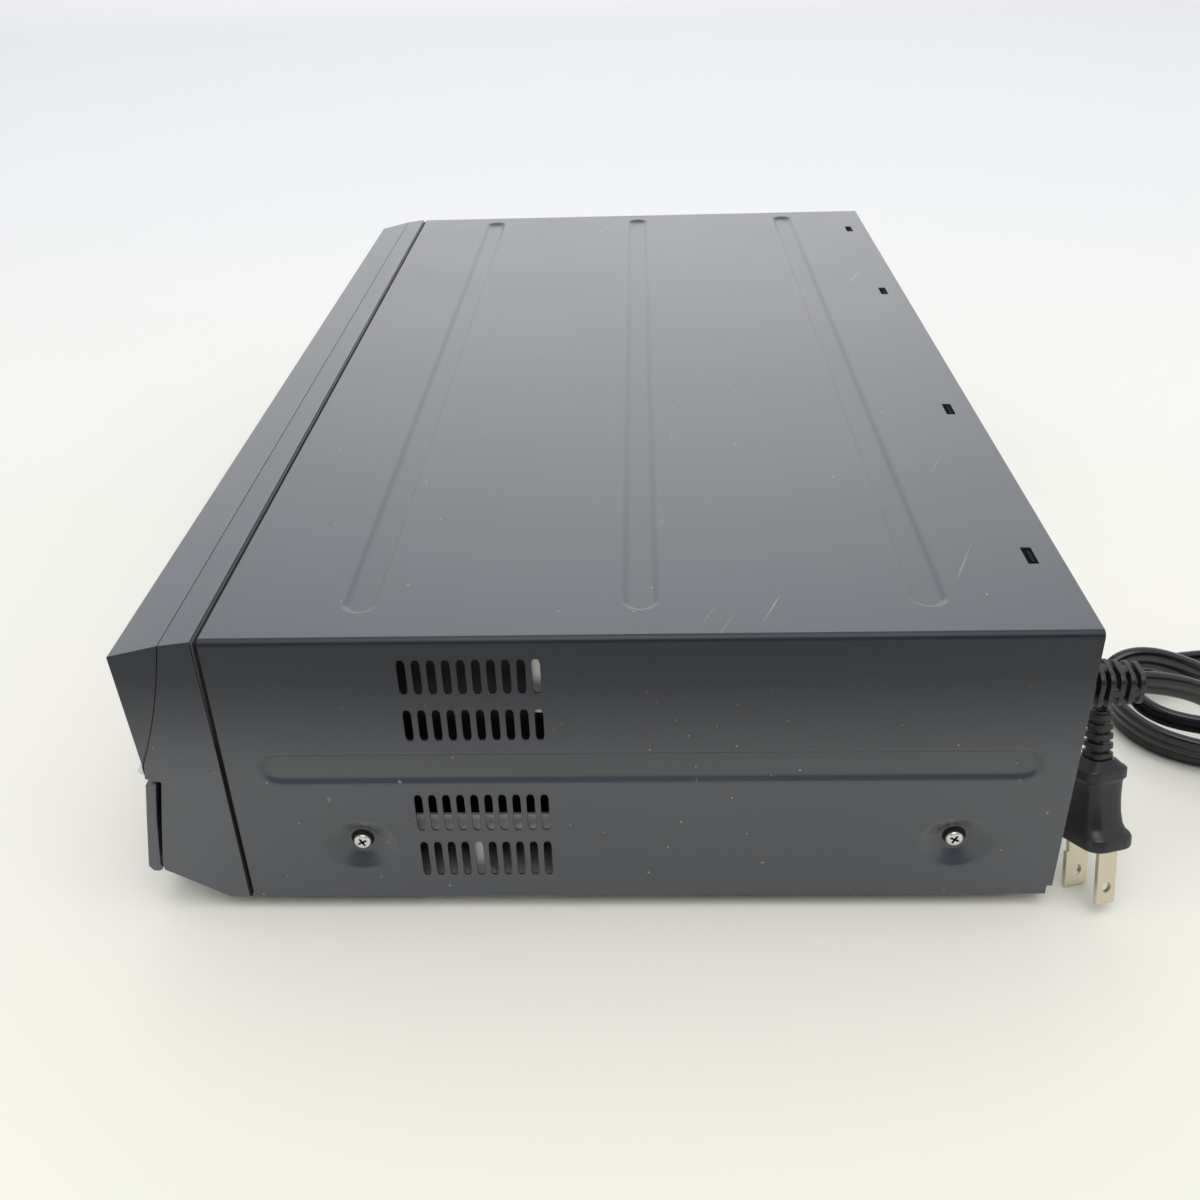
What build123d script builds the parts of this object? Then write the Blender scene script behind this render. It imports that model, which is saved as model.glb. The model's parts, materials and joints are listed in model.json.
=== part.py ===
"""Disc and tape combination player with a free mains cord, as separate pieces.

Everything is drawn from the case's own corner: x = 0 is the middle of its width, y counts back from the
cover's front edge and z counts up from the cover's bottom edge. The last step moves every piece so that
the origin is on the table, under the middle of the player.
"""

from build123d import *
import math
import os

# ---------------------------------------------------------------- driving dimensions, in millimetres
WIDTH = 430.0  # cover and fascia
COVER_DEPTH = 236.8
COVER_HEIGHT = 91.4
FOOT_HEIGHT = 5.0
SHEET = 0.9  # cover
PAN_SHEET = 1.0  # chassis and rear panel
BEND = 2.0  # outside radius of the cover's folds
JACK_REACH = 8.0  # rear jacks behind the cover
RUN = 0.05  # radial clearance of a running shaft
SEAT = 0.1  # gap between pieces that only lie together
FREE = 0.3  # gap round a piece that moves

# Pressed features of the cover
BEAD_DEPTH = 1.2
BEAD_SLOPE = 1.6
BEAD_WIDTH = 10.0
BEAD_STEPS = 6  # straight edges round a bead's end
TOP_BEAD_LENGTH = 406.0
TOP_BEAD_SHIFT = -2.0
TOP_BEADS_Y = (40.2, 117.2, 195.2)
SIDE_BEAD_LENGTH = 218.3
SIDE_BEAD_WIDTH = 10.8
SIDE_BEAD_Y = 118.5
SIDE_BEAD_Z = 48.4
DIMPLE_RADIUS = 9.4
DIMPLE_FLOOR = 4.2
DIMPLE_DEPTH = 3.0
DIMPLES_Y = (34.9, 206.8)
DIMPLE_Z = 20.0
VENT_COUNT = 10
VENT_PITCH = 4.0
VENT_WIDTH = 2.3
VENT_FIRST_Y = 53.3
VENT_ROWS = ((73.7, 85.0), (58.0, 68.7), (25.5, 39.0), (8.2, 21.4))  # bottom and top of each row
HOOKS_X = (-176.7, -70.9, 66.8, 174.1)
HOOK_LENGTH = 9.5
HOOK_WIDTH = 3.0
HOOK_INSET = 8.8  # hook slots ahead of the cover's rear edge
REAR_LIP = 12.0
TOP_SCREWS_X = (-120.7, -6.1)
TOP_SCREW_DROP = 4.6
CORNER_NOTCH = 1.6

# Fasteners
SCREW_HEAD = 2.6
SCREW_HEAD_HEIGHT = 1.7
SCREW_SHANK = 1.5
SCREW_LENGTH = 6.0
SCREW_HOLE = 1.7

# Fascia, brow, trim and flap: outlines as (y, z) at the end of the player
FASCIA_WALL = 2.4
FASCIA_GAP = 0.6
SEAM_TOP = (-10.6, COVER_HEIGHT - 1.3)
SEAM_MIDDLE = (-15.6, COVER_HEIGHT - 21.4)
SEAM_FOOT = (-23.0, COVER_HEIGHT - 41.5)
SEAM_GAP = 0.12
BROW_CREST = (-25.0, COVER_HEIGHT - 4.6)
BROW_FOOT = (-23.4, COVER_HEIGHT - 41.5)
TRIM_RADIUS = 1.5
LEDGE = (-23.6, COVER_HEIGHT - 46.1)
FLAP_TOP = (-23.9, COVER_HEIGHT - 48.1)
FLAP_BULGE = (-26.4, 30.3)
FLAP_FOOT = (-29.7, 12.4)
FLAP_THICKNESS = 3.0
FLAP_GAP = 1.4
HINGE_Y = -27.0
HINGE_Z = 11.8
HINGE_RADIUS = 1.5
HINGE_PIN = 0.8
HINGE_LUG = 8.0
HINGES_X = (-150.0, 0.0, 150.0)
CHIN = (-25.2, 10.9)
CHIN_BACK = -7.2
POCKET_FLOOR = -13.0
POCKET_WALL = 2.2
POCKET_HALF = 195.0
POCKET_FOOT = 17.0
POCKET_HEAD = COVER_HEIGHT - 51.4

# Tape side
CASSETTE = (187.0, 103.0, 25.0)
CASSETTE_PLAY = 1.9  # each side in the carriage
CARRIAGE_SHEET = 1.2
CARRIAGE_FRONT = 12.0
CARRIAGE_TOP = COVER_HEIGHT - 7.2
CARRIAGE_ROOM = 28.3
LEDGE_WIDTH = 14.0
RAIL_SHEET = 1.4
RAIL_GAP = 1.0
RAIL_TOP = COVER_HEIGHT - 4.2
RAIL_PIN = 2.0
RAIL_PINS_Y = (30.0, 95.0)
DECK_EDGE = 9.0  # cover's side to the deck's side
DECK_LEVEL = 24.0
DECK_SHEET = 1.2
DECK_FRONT = 16.0
DECK_DEPTH = 180.0
DOOR_HEIGHT = 29.0
DOOR_THICKNESS = 2.0
DOOR_PIN = 1.0
DOOR_DROP = 8.4  # door's top edge below the cover's top
REEL_SPACING = 90.0
REEL_Y = 60.0
REEL_RADIUS = 17.0
REEL_SPINDLE = 4.8
DRUM_RADIUS = 31.0
DRUM_Y = 160.0
DRUM_TILT = 5.97
DRUM_SHAFT = 3.0
CAPSTAN_RADIUS = 2.0
CAPSTAN_AT = (52.0, 125.0)  # from the deck's middle, and back
FLYWHEEL_RADIUS = 30.0
FLYWHEEL_HEIGHT = 9.0
PINCH_PIVOT = (75.0, 111.0)
PINCH_ARM = 25.1
PINCH_REST = 195.0  # direction of the retracted arm, degrees
PINCH_SWING = 25.0
PINCH_ROLLER = 6.5
GUIDE_START = (26.0, 104.0)
GUIDE_TRAVEL = 36.0
GUIDE_SPLAY = 21.0  # degrees that each guide track leans out

# Disc side
LOADER_EDGE = 9.0
LOADER_WIDTH = 148.0
LOADER_FRONT = 2.0
LOADER_DEPTH = 176.0
LOADER_WALL = 2.4
LOADER_FLOOR = 38.0
LOADER_TOP = COVER_HEIGHT - 12.4
TRAY_WIDTH = 128.0
TRAY_FRONT = -19.3
TRAY_DEPTH = 169.0
TRAY_FLOOR = COVER_HEIGHT - 23.4
TRAY_SHEET = 2.0
TRAY_RIM = 5.0
TRAY_TRAVEL = 135.0
RACK_DROP = 3.0  # rack below the tray's floor, behind the bezel
DISC_RADIUS = 61.0
DISC_Y = 58.0
TRAY_WINDOW = 40.0
BEZEL_WIDTH = 140.0
BEZEL_HEIGHT = 17.6
BEZEL_THICKNESS = 3.0
BEZEL_FOOT = COVER_HEIGHT - 26.4
TOOTH_MODULE = 1.0
GEAR_TEETH = 18
PINION_TEETH = 10
BACKLASH = 0.3
TRAVERSE_WIDTH = 88.0
TRAVERSE_BACK = 163.0
TRAVERSE_DEPTH = 126.0
TRAVERSE_DROP = 5.3  # degrees that the traverse hangs down at rest
TRAVERSE_LEVEL = COVER_HEIGHT - 36.4
ROD_SPACING = 64.0
ROD_RADIUS = 1.5
SLED_TRAVEL = 34.0
SLED_DEPTH = 32.0
SPINDLE_RADIUS = 1.5
LEAD_SCREW_OFFSET = 39.0
LEAD_SCREW = 1.9
JOURNAL = 1.2
CLAMP_RADIUS = 15.0

# Controls on the fascia
BUTTON_TRAVEL = 0.7
ROUND_BUTTON = 5.5
ROUND_BUTTON_Z = COVER_HEIGHT - 17.4
ROUND_BUTTON_PITCH = 20.0
KEY_WIDTH = 16.0
KEY_HEIGHT = 8.0
KEY_Z = 28.0
KEY_PITCH = 26.0
KEY_FIRST_X = 44.0
KEY_PROUD = 2.3
JACK_PITCH = 16.0
JACK_RADIUS = 4.15
FRONT_JACK_X = -180.0
LENS_WIDTH = 96.0
LENS_HEIGHT = 8.6
LENS_Z = COVER_HEIGHT - 33.9

# Boards
BOARD = 1.6
BOARD_LEVEL = 7.0
FRONT_BOARD_Y = -5.0
SWITCH_HEIGHT = 3.6

# Cord
CORD_RADIUS = 2.4
RELIEF_INSET = 9.0  # from the player's side
RELIEF_Z = 69.5
RELIEF_LENGTH = 15.5
BLADE_LENGTH = 17.7
BLADE_WIDTH = 6.35
BLADE_SHEET = 1.5
BLADE_SPACING = 12.7
WIDE_BLADE = 7.9
PLUG_BODY = 25.7
PLUG_RELIEF = 14.6

# ---------------------------------------------------------------- places that follow from them
FLAP_REACH = -FLAP_FOOT[0]
COVER_FRONT = (FLAP_REACH - COVER_DEPTH - JACK_REACH) / 2
RELIEF_X = WIDTH / 2 - RELIEF_INSET
INSIDE_X = WIDTH / 2 - SHEET
WALL_X = WIDTH / 2 - DIMPLE_DEPTH - SHEET  # outside of the chassis walls, against the dimples
PANEL_Y = COVER_DEPTH - SHEET - PAN_SHEET  # front of the rear panel
DECK_WIDTH = CASSETTE[0] + 2 * (CASSETTE_PLAY + CARRIAGE_SHEET + RAIL_GAP + RAIL_SHEET) + 4.0
DECK_X = -(WIDTH / 2 - DECK_EDGE - DECK_WIDTH / 2)
LOADER_X = WIDTH / 2 - LOADER_EDGE - LOADER_WIDTH / 2
POWER_X = LOADER_X + 19.0  # middle of the power board
CARRIAGE_HALF = CASSETTE[0] / 2 + CASSETTE_PLAY + CARRIAGE_SHEET
CARRIAGE_FLOOR = CARRIAGE_TOP - CARRIAGE_ROOM - CARRIAGE_SHEET
RAIL_HALF = CARRIAGE_HALF + RAIL_GAP
DECK_TOP = DECK_LEVEL + DECK_SHEET
CARRIAGE_DROP = CARRIAGE_FLOOR - CARRIAGE_SHEET - DECK_TOP - 6.0
DOOR_HALF = CASSETTE[0] / 2 + 2.2
DOOR_TOP = COVER_HEIGHT - DOOR_DROP
TRAVERSE_PIVOT = (TRAVERSE_BACK - 3.0, TRAVERSE_LEVEL + 1.0)
GEAR_RADIUS = TOOTH_MODULE * GEAR_TEETH / 2
PINION_RADIUS = TOOTH_MODULE * PINION_TEETH / 2
RACK_X = LOADER_X - TRAY_WIDTH / 2 + 8.0  # the rack's pitch line
GEAR_AT = (RACK_X + GEAR_RADIUS, 14.0)
PINION_AT = (GEAR_AT[0] + GEAR_RADIUS + PINION_RADIUS, GEAR_AT[1])
KEY_NAMES = ("eject_button", "rewind_button", "play_button", "stop_button", "forward_button")


# ---------------------------------------------------------------- small helpers
def block(x0, x1, y0, y1, z0, z1):
    """A box between two corners."""
    return Pos((x0 + x1) / 2, (y0 + y1) / 2, (z0 + z1) / 2) * Box(x1 - x0, y1 - y0, z1 - z0)


def flats(radius):
    """How many flats stand for a circle: a small one needs few."""
    return 8 if radius < 3.1 else 12 if radius < 12.5 else 24


def disc(radius, hole=False):
    """A many-sided face, inside the circle for a shaft and outside it for a hole, so a shaft still turns."""
    return RegularPolygon(radius, flats(radius), major_radius=not hole)


def post(x, y, z0, z1, radius, hole=False):
    """An upright shaft or hole."""
    return Pos(x, y, z0) * extrude(disc(radius, hole), amount=z1 - z0)


def bar_x(y, z, x0, x1, radius, hole=False):
    """A shaft or hole that lies across the player."""
    return Pos(min(x0, x1), y, z) * Rot(0, 90, 0) * extrude(disc(radius, hole), amount=abs(x1 - x0))


def bar_y(x, z, y0, y1, radius, hole=False):
    """A shaft or hole that lies front to back."""
    return Pos(x, y0, z) * Rot(-90, 0, 0) * extrude(disc(radius, hole), amount=y1 - y0)


def taper(low_radius, high_radius, height, count):
    """An upright cone's frustum with flats, standing on z = 0."""
    low = RegularPolygon(low_radius, count).face()
    high = (Plane.XY.offset(height) * RegularPolygon(high_radius, count)).face()
    return loft([low, high], ruled=True)


def oblong(length, width, steps):
    """A long hole's outline along x, with a few straight edges round each end."""
    radius = width / 2
    points = []
    for side in (1, -1):
        for k in range(steps + 1):
            turn = math.pi * (k / steps - 0.5)
            reach = length / 2 - radius + radius * math.cos(turn)
            points.append((side * reach, side * radius * math.sin(turn)))
    return make_face(Polyline(*points, close=True))


def soft_box(wide, high, cut):
    """A rectangle with its corners cut off."""
    x, y = wide / 2, high / 2
    right = [(x - cut, -y), (x, cut - y), (x, y - cut), (x - cut, y)]
    return make_face(Polyline(*right, *[(-a, -b) for a, b in right], close=True))


def prism_x(outline, x0, x1):
    """A closed (y, z) outline, as points or edges, run across the player."""
    if not isinstance(outline[0], tuple):
        face = make_face(outline)
    else:
        face = make_face(Polyline(*[(0, y, z) for y, z in outline], close=True))
    return Pos(x0, 0, 0) * extrude(face, amount=x1 - x0, dir=(1, 0, 0))


def prism_z(outline, z0, z1):
    """A closed (x, y) outline raised from z0 to z1."""
    face = make_face(Polyline(*[(x, y, 0) for x, y in outline], close=True))
    return Pos(0, 0, z0) * extrude(face, amount=z1 - z0, dir=(0, 0, 1))


def slot_loft(plane, length, width, slope, depth):
    """A round-ended trough with sloping sides, cut into the plane by its depth."""
    mouth = plane * oblong(length, width, BEAD_STEPS)
    floor = plane.offset(-depth) * oblong(length - 2 * slope, width - 2 * slope, BEAD_STEPS)
    return loft([mouth.face(), floor.face()], ruled=True)


def gear(teeth, height, bore):
    """A spur gear with involute flanks, standing on z = 0, with a bore unless that is zero."""
    pitch = TOOTH_MODULE * teeth / 2
    base = pitch * math.cos(math.radians(20))
    tip = pitch + 0.9 * TOOTH_MODULE
    root = pitch - 1.15 * TOOTH_MODULE

    def half_angle(radius):
        pressure = math.acos(min(1.0, base / radius))
        involute = math.tan(pressure) - pressure
        thin = BACKLASH / (2 * pitch)
        return math.pi / (2 * teeth) - thin + math.tan(math.radians(20)) - math.radians(20) - involute

    radii = [max(base, root), pitch, tip]
    points = []
    for tooth in range(teeth):
        middle = 2 * math.pi * tooth / teeth
        points.append((root, middle - half_angle(radii[0])))
        points += [(r, middle - half_angle(r)) for r in radii]
        points += [(r, middle + half_angle(r)) for r in reversed(radii)]
        points.append((root, middle + half_angle(radii[0])))
    outline = [(r * math.cos(a), r * math.sin(a)) for r, a in points]
    cleaned = [outline[0]]
    for point in outline[1:]:
        if math.dist(point, cleaned[-1]) > 0.01:
            cleaned.append(point)
    wheel = prism_z(cleaned, 0, height)
    return wheel - post(0, 0, -1, height + 1, bore, hole=True) if bore else wheel


def pan_screw(length):
    """A pan head screw along +Z, with its head's seat at z = 0 and its shank below."""
    rim = SCREW_HEAD_HEIGHT * 0.5
    head = extrude(RegularPolygon(SCREW_HEAD, 8), amount=rim)
    head += Pos(0, 0, rim) * taper(SCREW_HEAD, SCREW_HEAD * 0.7, SCREW_HEAD_HEIGHT - rim, 8)
    return head + post(0, 0, -length, 0, SCREW_SHANK)


# ---------------------------------------------------------------- housing
def seam_edge(shift, reverse=False):
    """The curved parting line between the brow and the fascia."""
    points = [(0, y + shift, z) for y, z in (SEAM_TOP, SEAM_MIDDLE, SEAM_FOOT)]
    if reverse:
        points.reverse()
    return ThreePointArc(*points)


def outline_edges(points):
    """Straight edges through (y, z) points."""
    spots = [(0, y, z) for y, z in points]
    return [Line(a, b) for a, b in zip(spots, spots[1:])]


def brow_face(z):
    """y of the brow's front face at a height."""
    share = (z - BROW_FOOT[1]) / (BROW_CREST[1] - BROW_FOOT[1])
    return BROW_FOOT[0] + share * (BROW_CREST[0] - BROW_FOOT[0])


def cover():
    shell = block(-WIDTH / 2, WIDTH / 2, 0, COVER_DEPTH, 0, COVER_HEIGHT)
    shell = fillet(shell.edges().filter_by(Axis.Y).group_by(Axis.Z)[-1], BEND)
    hollow = block(-INSIDE_X, INSIDE_X, -1, COVER_DEPTH + 1, -1, COVER_HEIGHT - SHEET)
    hollow = fillet(hollow.edges().filter_by(Axis.Y).group_by(Axis.Z)[-1], BEND - SHEET)
    shell -= hollow
    lip_foot, lip_top = COVER_HEIGHT - REAR_LIP, COVER_HEIGHT - SHEET / 2
    shell += block(-INSIDE_X + 4, INSIDE_X - 4, COVER_DEPTH - SHEET, COVER_DEPTH, lip_foot, lip_top)
    grow = 0.7
    inside_top = Plane.XY.offset(COVER_HEIGHT - SHEET)
    for y in TOP_BEADS_Y:
        spot = Pos(TOP_BEAD_SHIFT, y, 0)
        long, wide = TOP_BEAD_LENGTH + grow, BEAD_WIDTH + grow
        shell += spot * slot_loft(inside_top, long, wide, BEAD_SLOPE, BEAD_DEPTH)
        shell -= spot * slot_loft(
            Plane.XY.offset(COVER_HEIGHT), TOP_BEAD_LENGTH, BEAD_WIDTH, BEAD_SLOPE, BEAD_DEPTH
        )
    for side in (1, -1):
        outward = Plane((0, 0, 0), x_dir=(0, side, 0), z_dir=(side, 0, 0))
        bead_y = side * SIDE_BEAD_Y
        inner = outward.offset(INSIDE_X) * Pos(bead_y, SIDE_BEAD_Z)
        outer = outward.offset(WIDTH / 2) * Pos(bead_y, SIDE_BEAD_Z)
        long, wide = SIDE_BEAD_LENGTH + grow, SIDE_BEAD_WIDTH + grow
        shell += slot_loft(Plane(inner), long, wide, BEAD_SLOPE, BEAD_DEPTH)
        shell -= slot_loft(Plane(outer), SIDE_BEAD_LENGTH, SIDE_BEAD_WIDTH, BEAD_SLOPE, BEAD_DEPTH)
        for y in DIMPLES_Y:
            inner = Pos(side * (INSIDE_X - DIMPLE_DEPTH), y, DIMPLE_Z) * Rot(0, side * 90, 0)
            outer = Pos(side * (WIDTH / 2 - DIMPLE_DEPTH), y, DIMPLE_Z) * Rot(0, side * 90, 0)
            shell += inner * taper(DIMPLE_FLOOR + grow, DIMPLE_RADIUS + grow, DIMPLE_DEPTH, 16)
            shell -= outer * taper(DIMPLE_FLOOR, DIMPLE_RADIUS, DIMPLE_DEPTH, 16)
            shell -= bar_x(y, DIMPLE_Z, side * (WALL_X - 1), side * WIDTH / 2, SCREW_HOLE, hole=True)
    vents = Sketch() + [
        Location((VENT_FIRST_Y + k * VENT_PITCH, (low + high) / 2), 90) * oblong(high - low, VENT_WIDTH, 3)
        for low, high in VENT_ROWS
        for k in range(VENT_COUNT)
    ]
    shell -= extrude(Plane.YZ * vents, amount=WIDTH / 2 + 1, both=True)
    for x in HOOKS_X:
        y = COVER_DEPTH - HOOK_INSET
        long, wide = HOOK_LENGTH / 2, HOOK_WIDTH / 2
        shell -= block(x - long, x + long, y - wide, y + wide, COVER_HEIGHT - 2, COVER_HEIGHT + 1)
    for x in TOP_SCREWS_X:
        z = COVER_HEIGHT - TOP_SCREW_DROP
        shell -= bar_y(x, z, COVER_DEPTH - 2, COVER_DEPTH + 1, SCREW_HOLE, hole=True)
    notch = block(-WIDTH, WIDTH, COVER_DEPTH - CORNER_NOTCH, COVER_DEPTH + 1, -1, 2 * CORNER_NOTCH)
    return shell - notch


def chassis():
    front, back = 1.0, PANEL_Y
    wall = PAN_SHEET
    pan = block(-WALL_X, WALL_X, front, back, 0, wall)
    ear = (VENT_FIRST_Y + 8.6 * VENT_PITCH, VENT_FIRST_Y + 15 * VENT_PITCH)
    for side in (1, -1):
        outer, inner = side * WALL_X, side * (WALL_X - wall)
        x0, x1 = min(outer, inner), max(outer, inner)
        pan += block(x0, x1, front, back, 0, 45.0)
        pan += block(x0, x1, ear[0], ear[1], 45.0, COVER_HEIGHT - 3.4)
        windows = block(x0 - 1, x1 + 1, ear[0] - 2, ear[1] - 6, 47.0, 64.8)
        windows += block(x0 - 1, x1 + 1, 46.0, 98.0, 28.2, 42.0)
        windows += block(x0 - 1, x1 + 1, 46.0, 67.6, 5.0, 20.0)
        rear_window = block(x0 - 1, x1 + 1, 71.2, 98.0, 5.0, 20.0)
        windows += chamfer(rear_window.edges().filter_by(Axis.X), 2.4)
        windows += block(x0 - 1, x1 + 1, 120.0, 190.0, 12.0, 36.0)
        pan -= windows
        for y in DIMPLES_Y:
            pan -= bar_x(y, DIMPLE_Z, side * (WALL_X - 3), side * (WALL_X + 1), SCREW_HOLE, hole=True)
        tab = block(min(inner, inner - side * 8), max(inner, inner - side * 8), back - wall, back, wall, 52.0)
        pan += tab - bar_y(side * (WALL_X - 5.5), 45.0, back - 3, back + 1, SCREW_HOLE, hole=True)
    pan += block(-WALL_X + wall, WALL_X - wall, front, front + wall, wall, 8.0)
    pan += block(-WALL_X + wall + 8, WALL_X - wall - 8, back - wall, back, wall, 6.0)
    louvres = Sketch() + [
        Pos(DECK_X + x, y) * oblong(26, 4, 3) for x in (15, 53, 91) for y in (52, 64, 76)
    ]
    pan -= Pos(0, 0, -1) * extrude(louvres, amount=4)
    for x, y in deck_posts():
        pan += post(x, y, wall, DECK_LEVEL, 3.5)
    for x, y in board_posts():
        pan += post(x, y, wall, BOARD_LEVEL, 2.5)
    return pan


def deck_posts():
    half = DECK_WIDTH / 2 - 5
    return [(DECK_X + s * half, y) for s in (-1, 1) for y in (DECK_FRONT + 8, DECK_FRONT + DECK_DEPTH - 10)]


def board_posts():
    main = [(DECK_X + x, y) for x, y in ((-45, 214), (75, 214), (-45, 112), (139, 112))]
    return main + [(POWER_X + x, y) for x in (-39, 37) for y in (50, 214)]


REAR_GANGS = [(DECK_X + x, z, 3) for x in (-73.0, -7.0) for z in (48.0, 26.0)]
S_VIDEO = (DECK_X + 57.0, 48.0)
HDMI = (DECK_X + 57.0, 26.0)


def gang_spots():
    return [(x + k * JACK_PITCH, z) for x, z, count in REAR_GANGS for k in range(count)]


def rear_panel():
    half = INSIDE_X - 0.2
    low = PAN_SHEET + SEAT
    panel = block(-half, half, PANEL_Y, PANEL_Y + PAN_SHEET, low, COVER_HEIGHT - SHEET - 0.2)
    flange_top = COVER_HEIGHT - SHEET - 0.2
    flange = block(-half + 4, half - 4, PANEL_Y - 13, PANEL_Y, flange_top - PAN_SHEET, flange_top)
    for x in (-TOP_BEAD_LENGTH / 4, TOP_BEAD_LENGTH / 4):
        flange -= block(x - 3, x + 3, PANEL_Y - 14, PANEL_Y - 8, 0, COVER_HEIGHT)
    panel += flange
    for x in HOOKS_X:
        y = COVER_DEPTH - HOOK_INSET
        panel += block(x - 3.4, x + 3.4, y - 0.2, y + 0.9, flange_top - 0.2, COVER_HEIGHT - 0.25)
    for x, z in gang_spots():
        panel -= bar_y(x, z, PANEL_Y - 1, COVER_DEPTH + 1, JACK_RADIUS + 0.6, hole=True)
    panel -= bar_y(*S_VIDEO, PANEL_Y - 1, COVER_DEPTH + 1, 5.4, hole=True)
    panel -= block(HDMI[0] - 8.0, HDMI[0] + 8.0, PANEL_Y - 1, COVER_DEPTH + 1, HDMI[1] - 3.4, HDMI[1] + 3.4)
    for x in TOP_SCREWS_X:
        panel -= bar_y(x, COVER_HEIGHT - TOP_SCREW_DROP, PANEL_Y - 1, COVER_DEPTH + 1, SCREW_HOLE, hole=True)
    for side in (1, -1):
        panel -= bar_y(side * (WALL_X - 5.5), 45.0, PANEL_Y - 1, COVER_DEPTH + 1, SCREW_HOLE, hole=True)
    grille = Sketch() + [
        Pos(LOADER_X - 62 + 8 * k, 52) * Rot(0, 0, 90) * oblong(30, 3, 3) for k in range(11)
    ]
    cut = extrude(Plane.XZ * grille, amount=-(COVER_DEPTH + 1))
    panel -= cut & block(-WIDTH, WIDTH, PANEL_Y - 1, COVER_DEPTH + 1, 0, COVER_HEIGHT)
    mouth = Plane.XZ.offset(-(COVER_DEPTH + 1)) * Pos(RELIEF_X, RELIEF_Z) * soft_box(10.6, 8.4, 1.6)
    panel -= extrude(mouth, amount=PAN_SHEET + 4)
    return panel


def rear_jacks():
    """One gang of three phono sockets per solid: a base inside, a collar and a sleeve outside."""
    gangs = []
    face = PANEL_Y
    for x, z, count in REAR_GANGS:
        left, right = x - JACK_PITCH / 2 + 0.5, x + (count - 0.5) * JACK_PITCH - 0.5
        gang = block(left, right, face - 9 - SEAT, face - SEAT, z - 8, z + 8)
        foot = BOARD_LEVEL + BOARD if z < 40 else z - 14
        gang += block(left, right, face - 9 - SEAT, face - 5, foot, z - 8)
        for k in range(count):
            spot = x + k * JACK_PITCH
            gang += bar_y(spot, z, face - 1, COVER_DEPTH + JACK_REACH, JACK_RADIUS)
            mouth = COVER_DEPTH + JACK_REACH
            gang -= bar_y(spot, z, COVER_DEPTH - 4, mouth + 1, 1.6, hole=True)
            gang -= bar_y(spot, z, mouth - 2.5, mouth + 1, 3.0, hole=True)
        gangs.append(gang)
    return gangs


def rear_sockets():
    """The round video socket and the flat digital one."""
    face = PANEL_Y
    x, z = S_VIDEO
    low = HDMI[1] + 4.4
    round_socket = block(x - 7, x + 7, face - 12 - SEAT, face - SEAT, low + SEAT, z + 7)
    round_socket += bar_y(x, z, face - 1, COVER_DEPTH + 1.6, 5.0)
    round_socket -= bar_y(x, z, COVER_DEPTH - 3.5, COVER_DEPTH + 3, 3.9, hole=True)
    round_socket += bar_y(x, z, COVER_DEPTH - 4, COVER_DEPTH - 0.5, 1.4)
    x, z = HDMI
    flat = block(x - 7.6, x + 7.6, face - 12, COVER_DEPTH + 0.6, z - 3.0, z + 3.0)
    flat -= block(x - 6.8, x + 6.8, face - 8, COVER_DEPTH + 2, z - 2.2, z + 2.2)
    flat += block(x - 5.6, x + 5.6, face - 9, COVER_DEPTH - 1, z - 0.5, z + 0.5)
    flat += block(x - 7.6, x + 7.6, face - 12, face - 2, BOARD_LEVEL + BOARD, z - 3.0)
    flat += block(x - 7.6, x + 7.6, face - 12, face - 2, z + 3.0, low)
    return [round_socket, flat]


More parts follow.
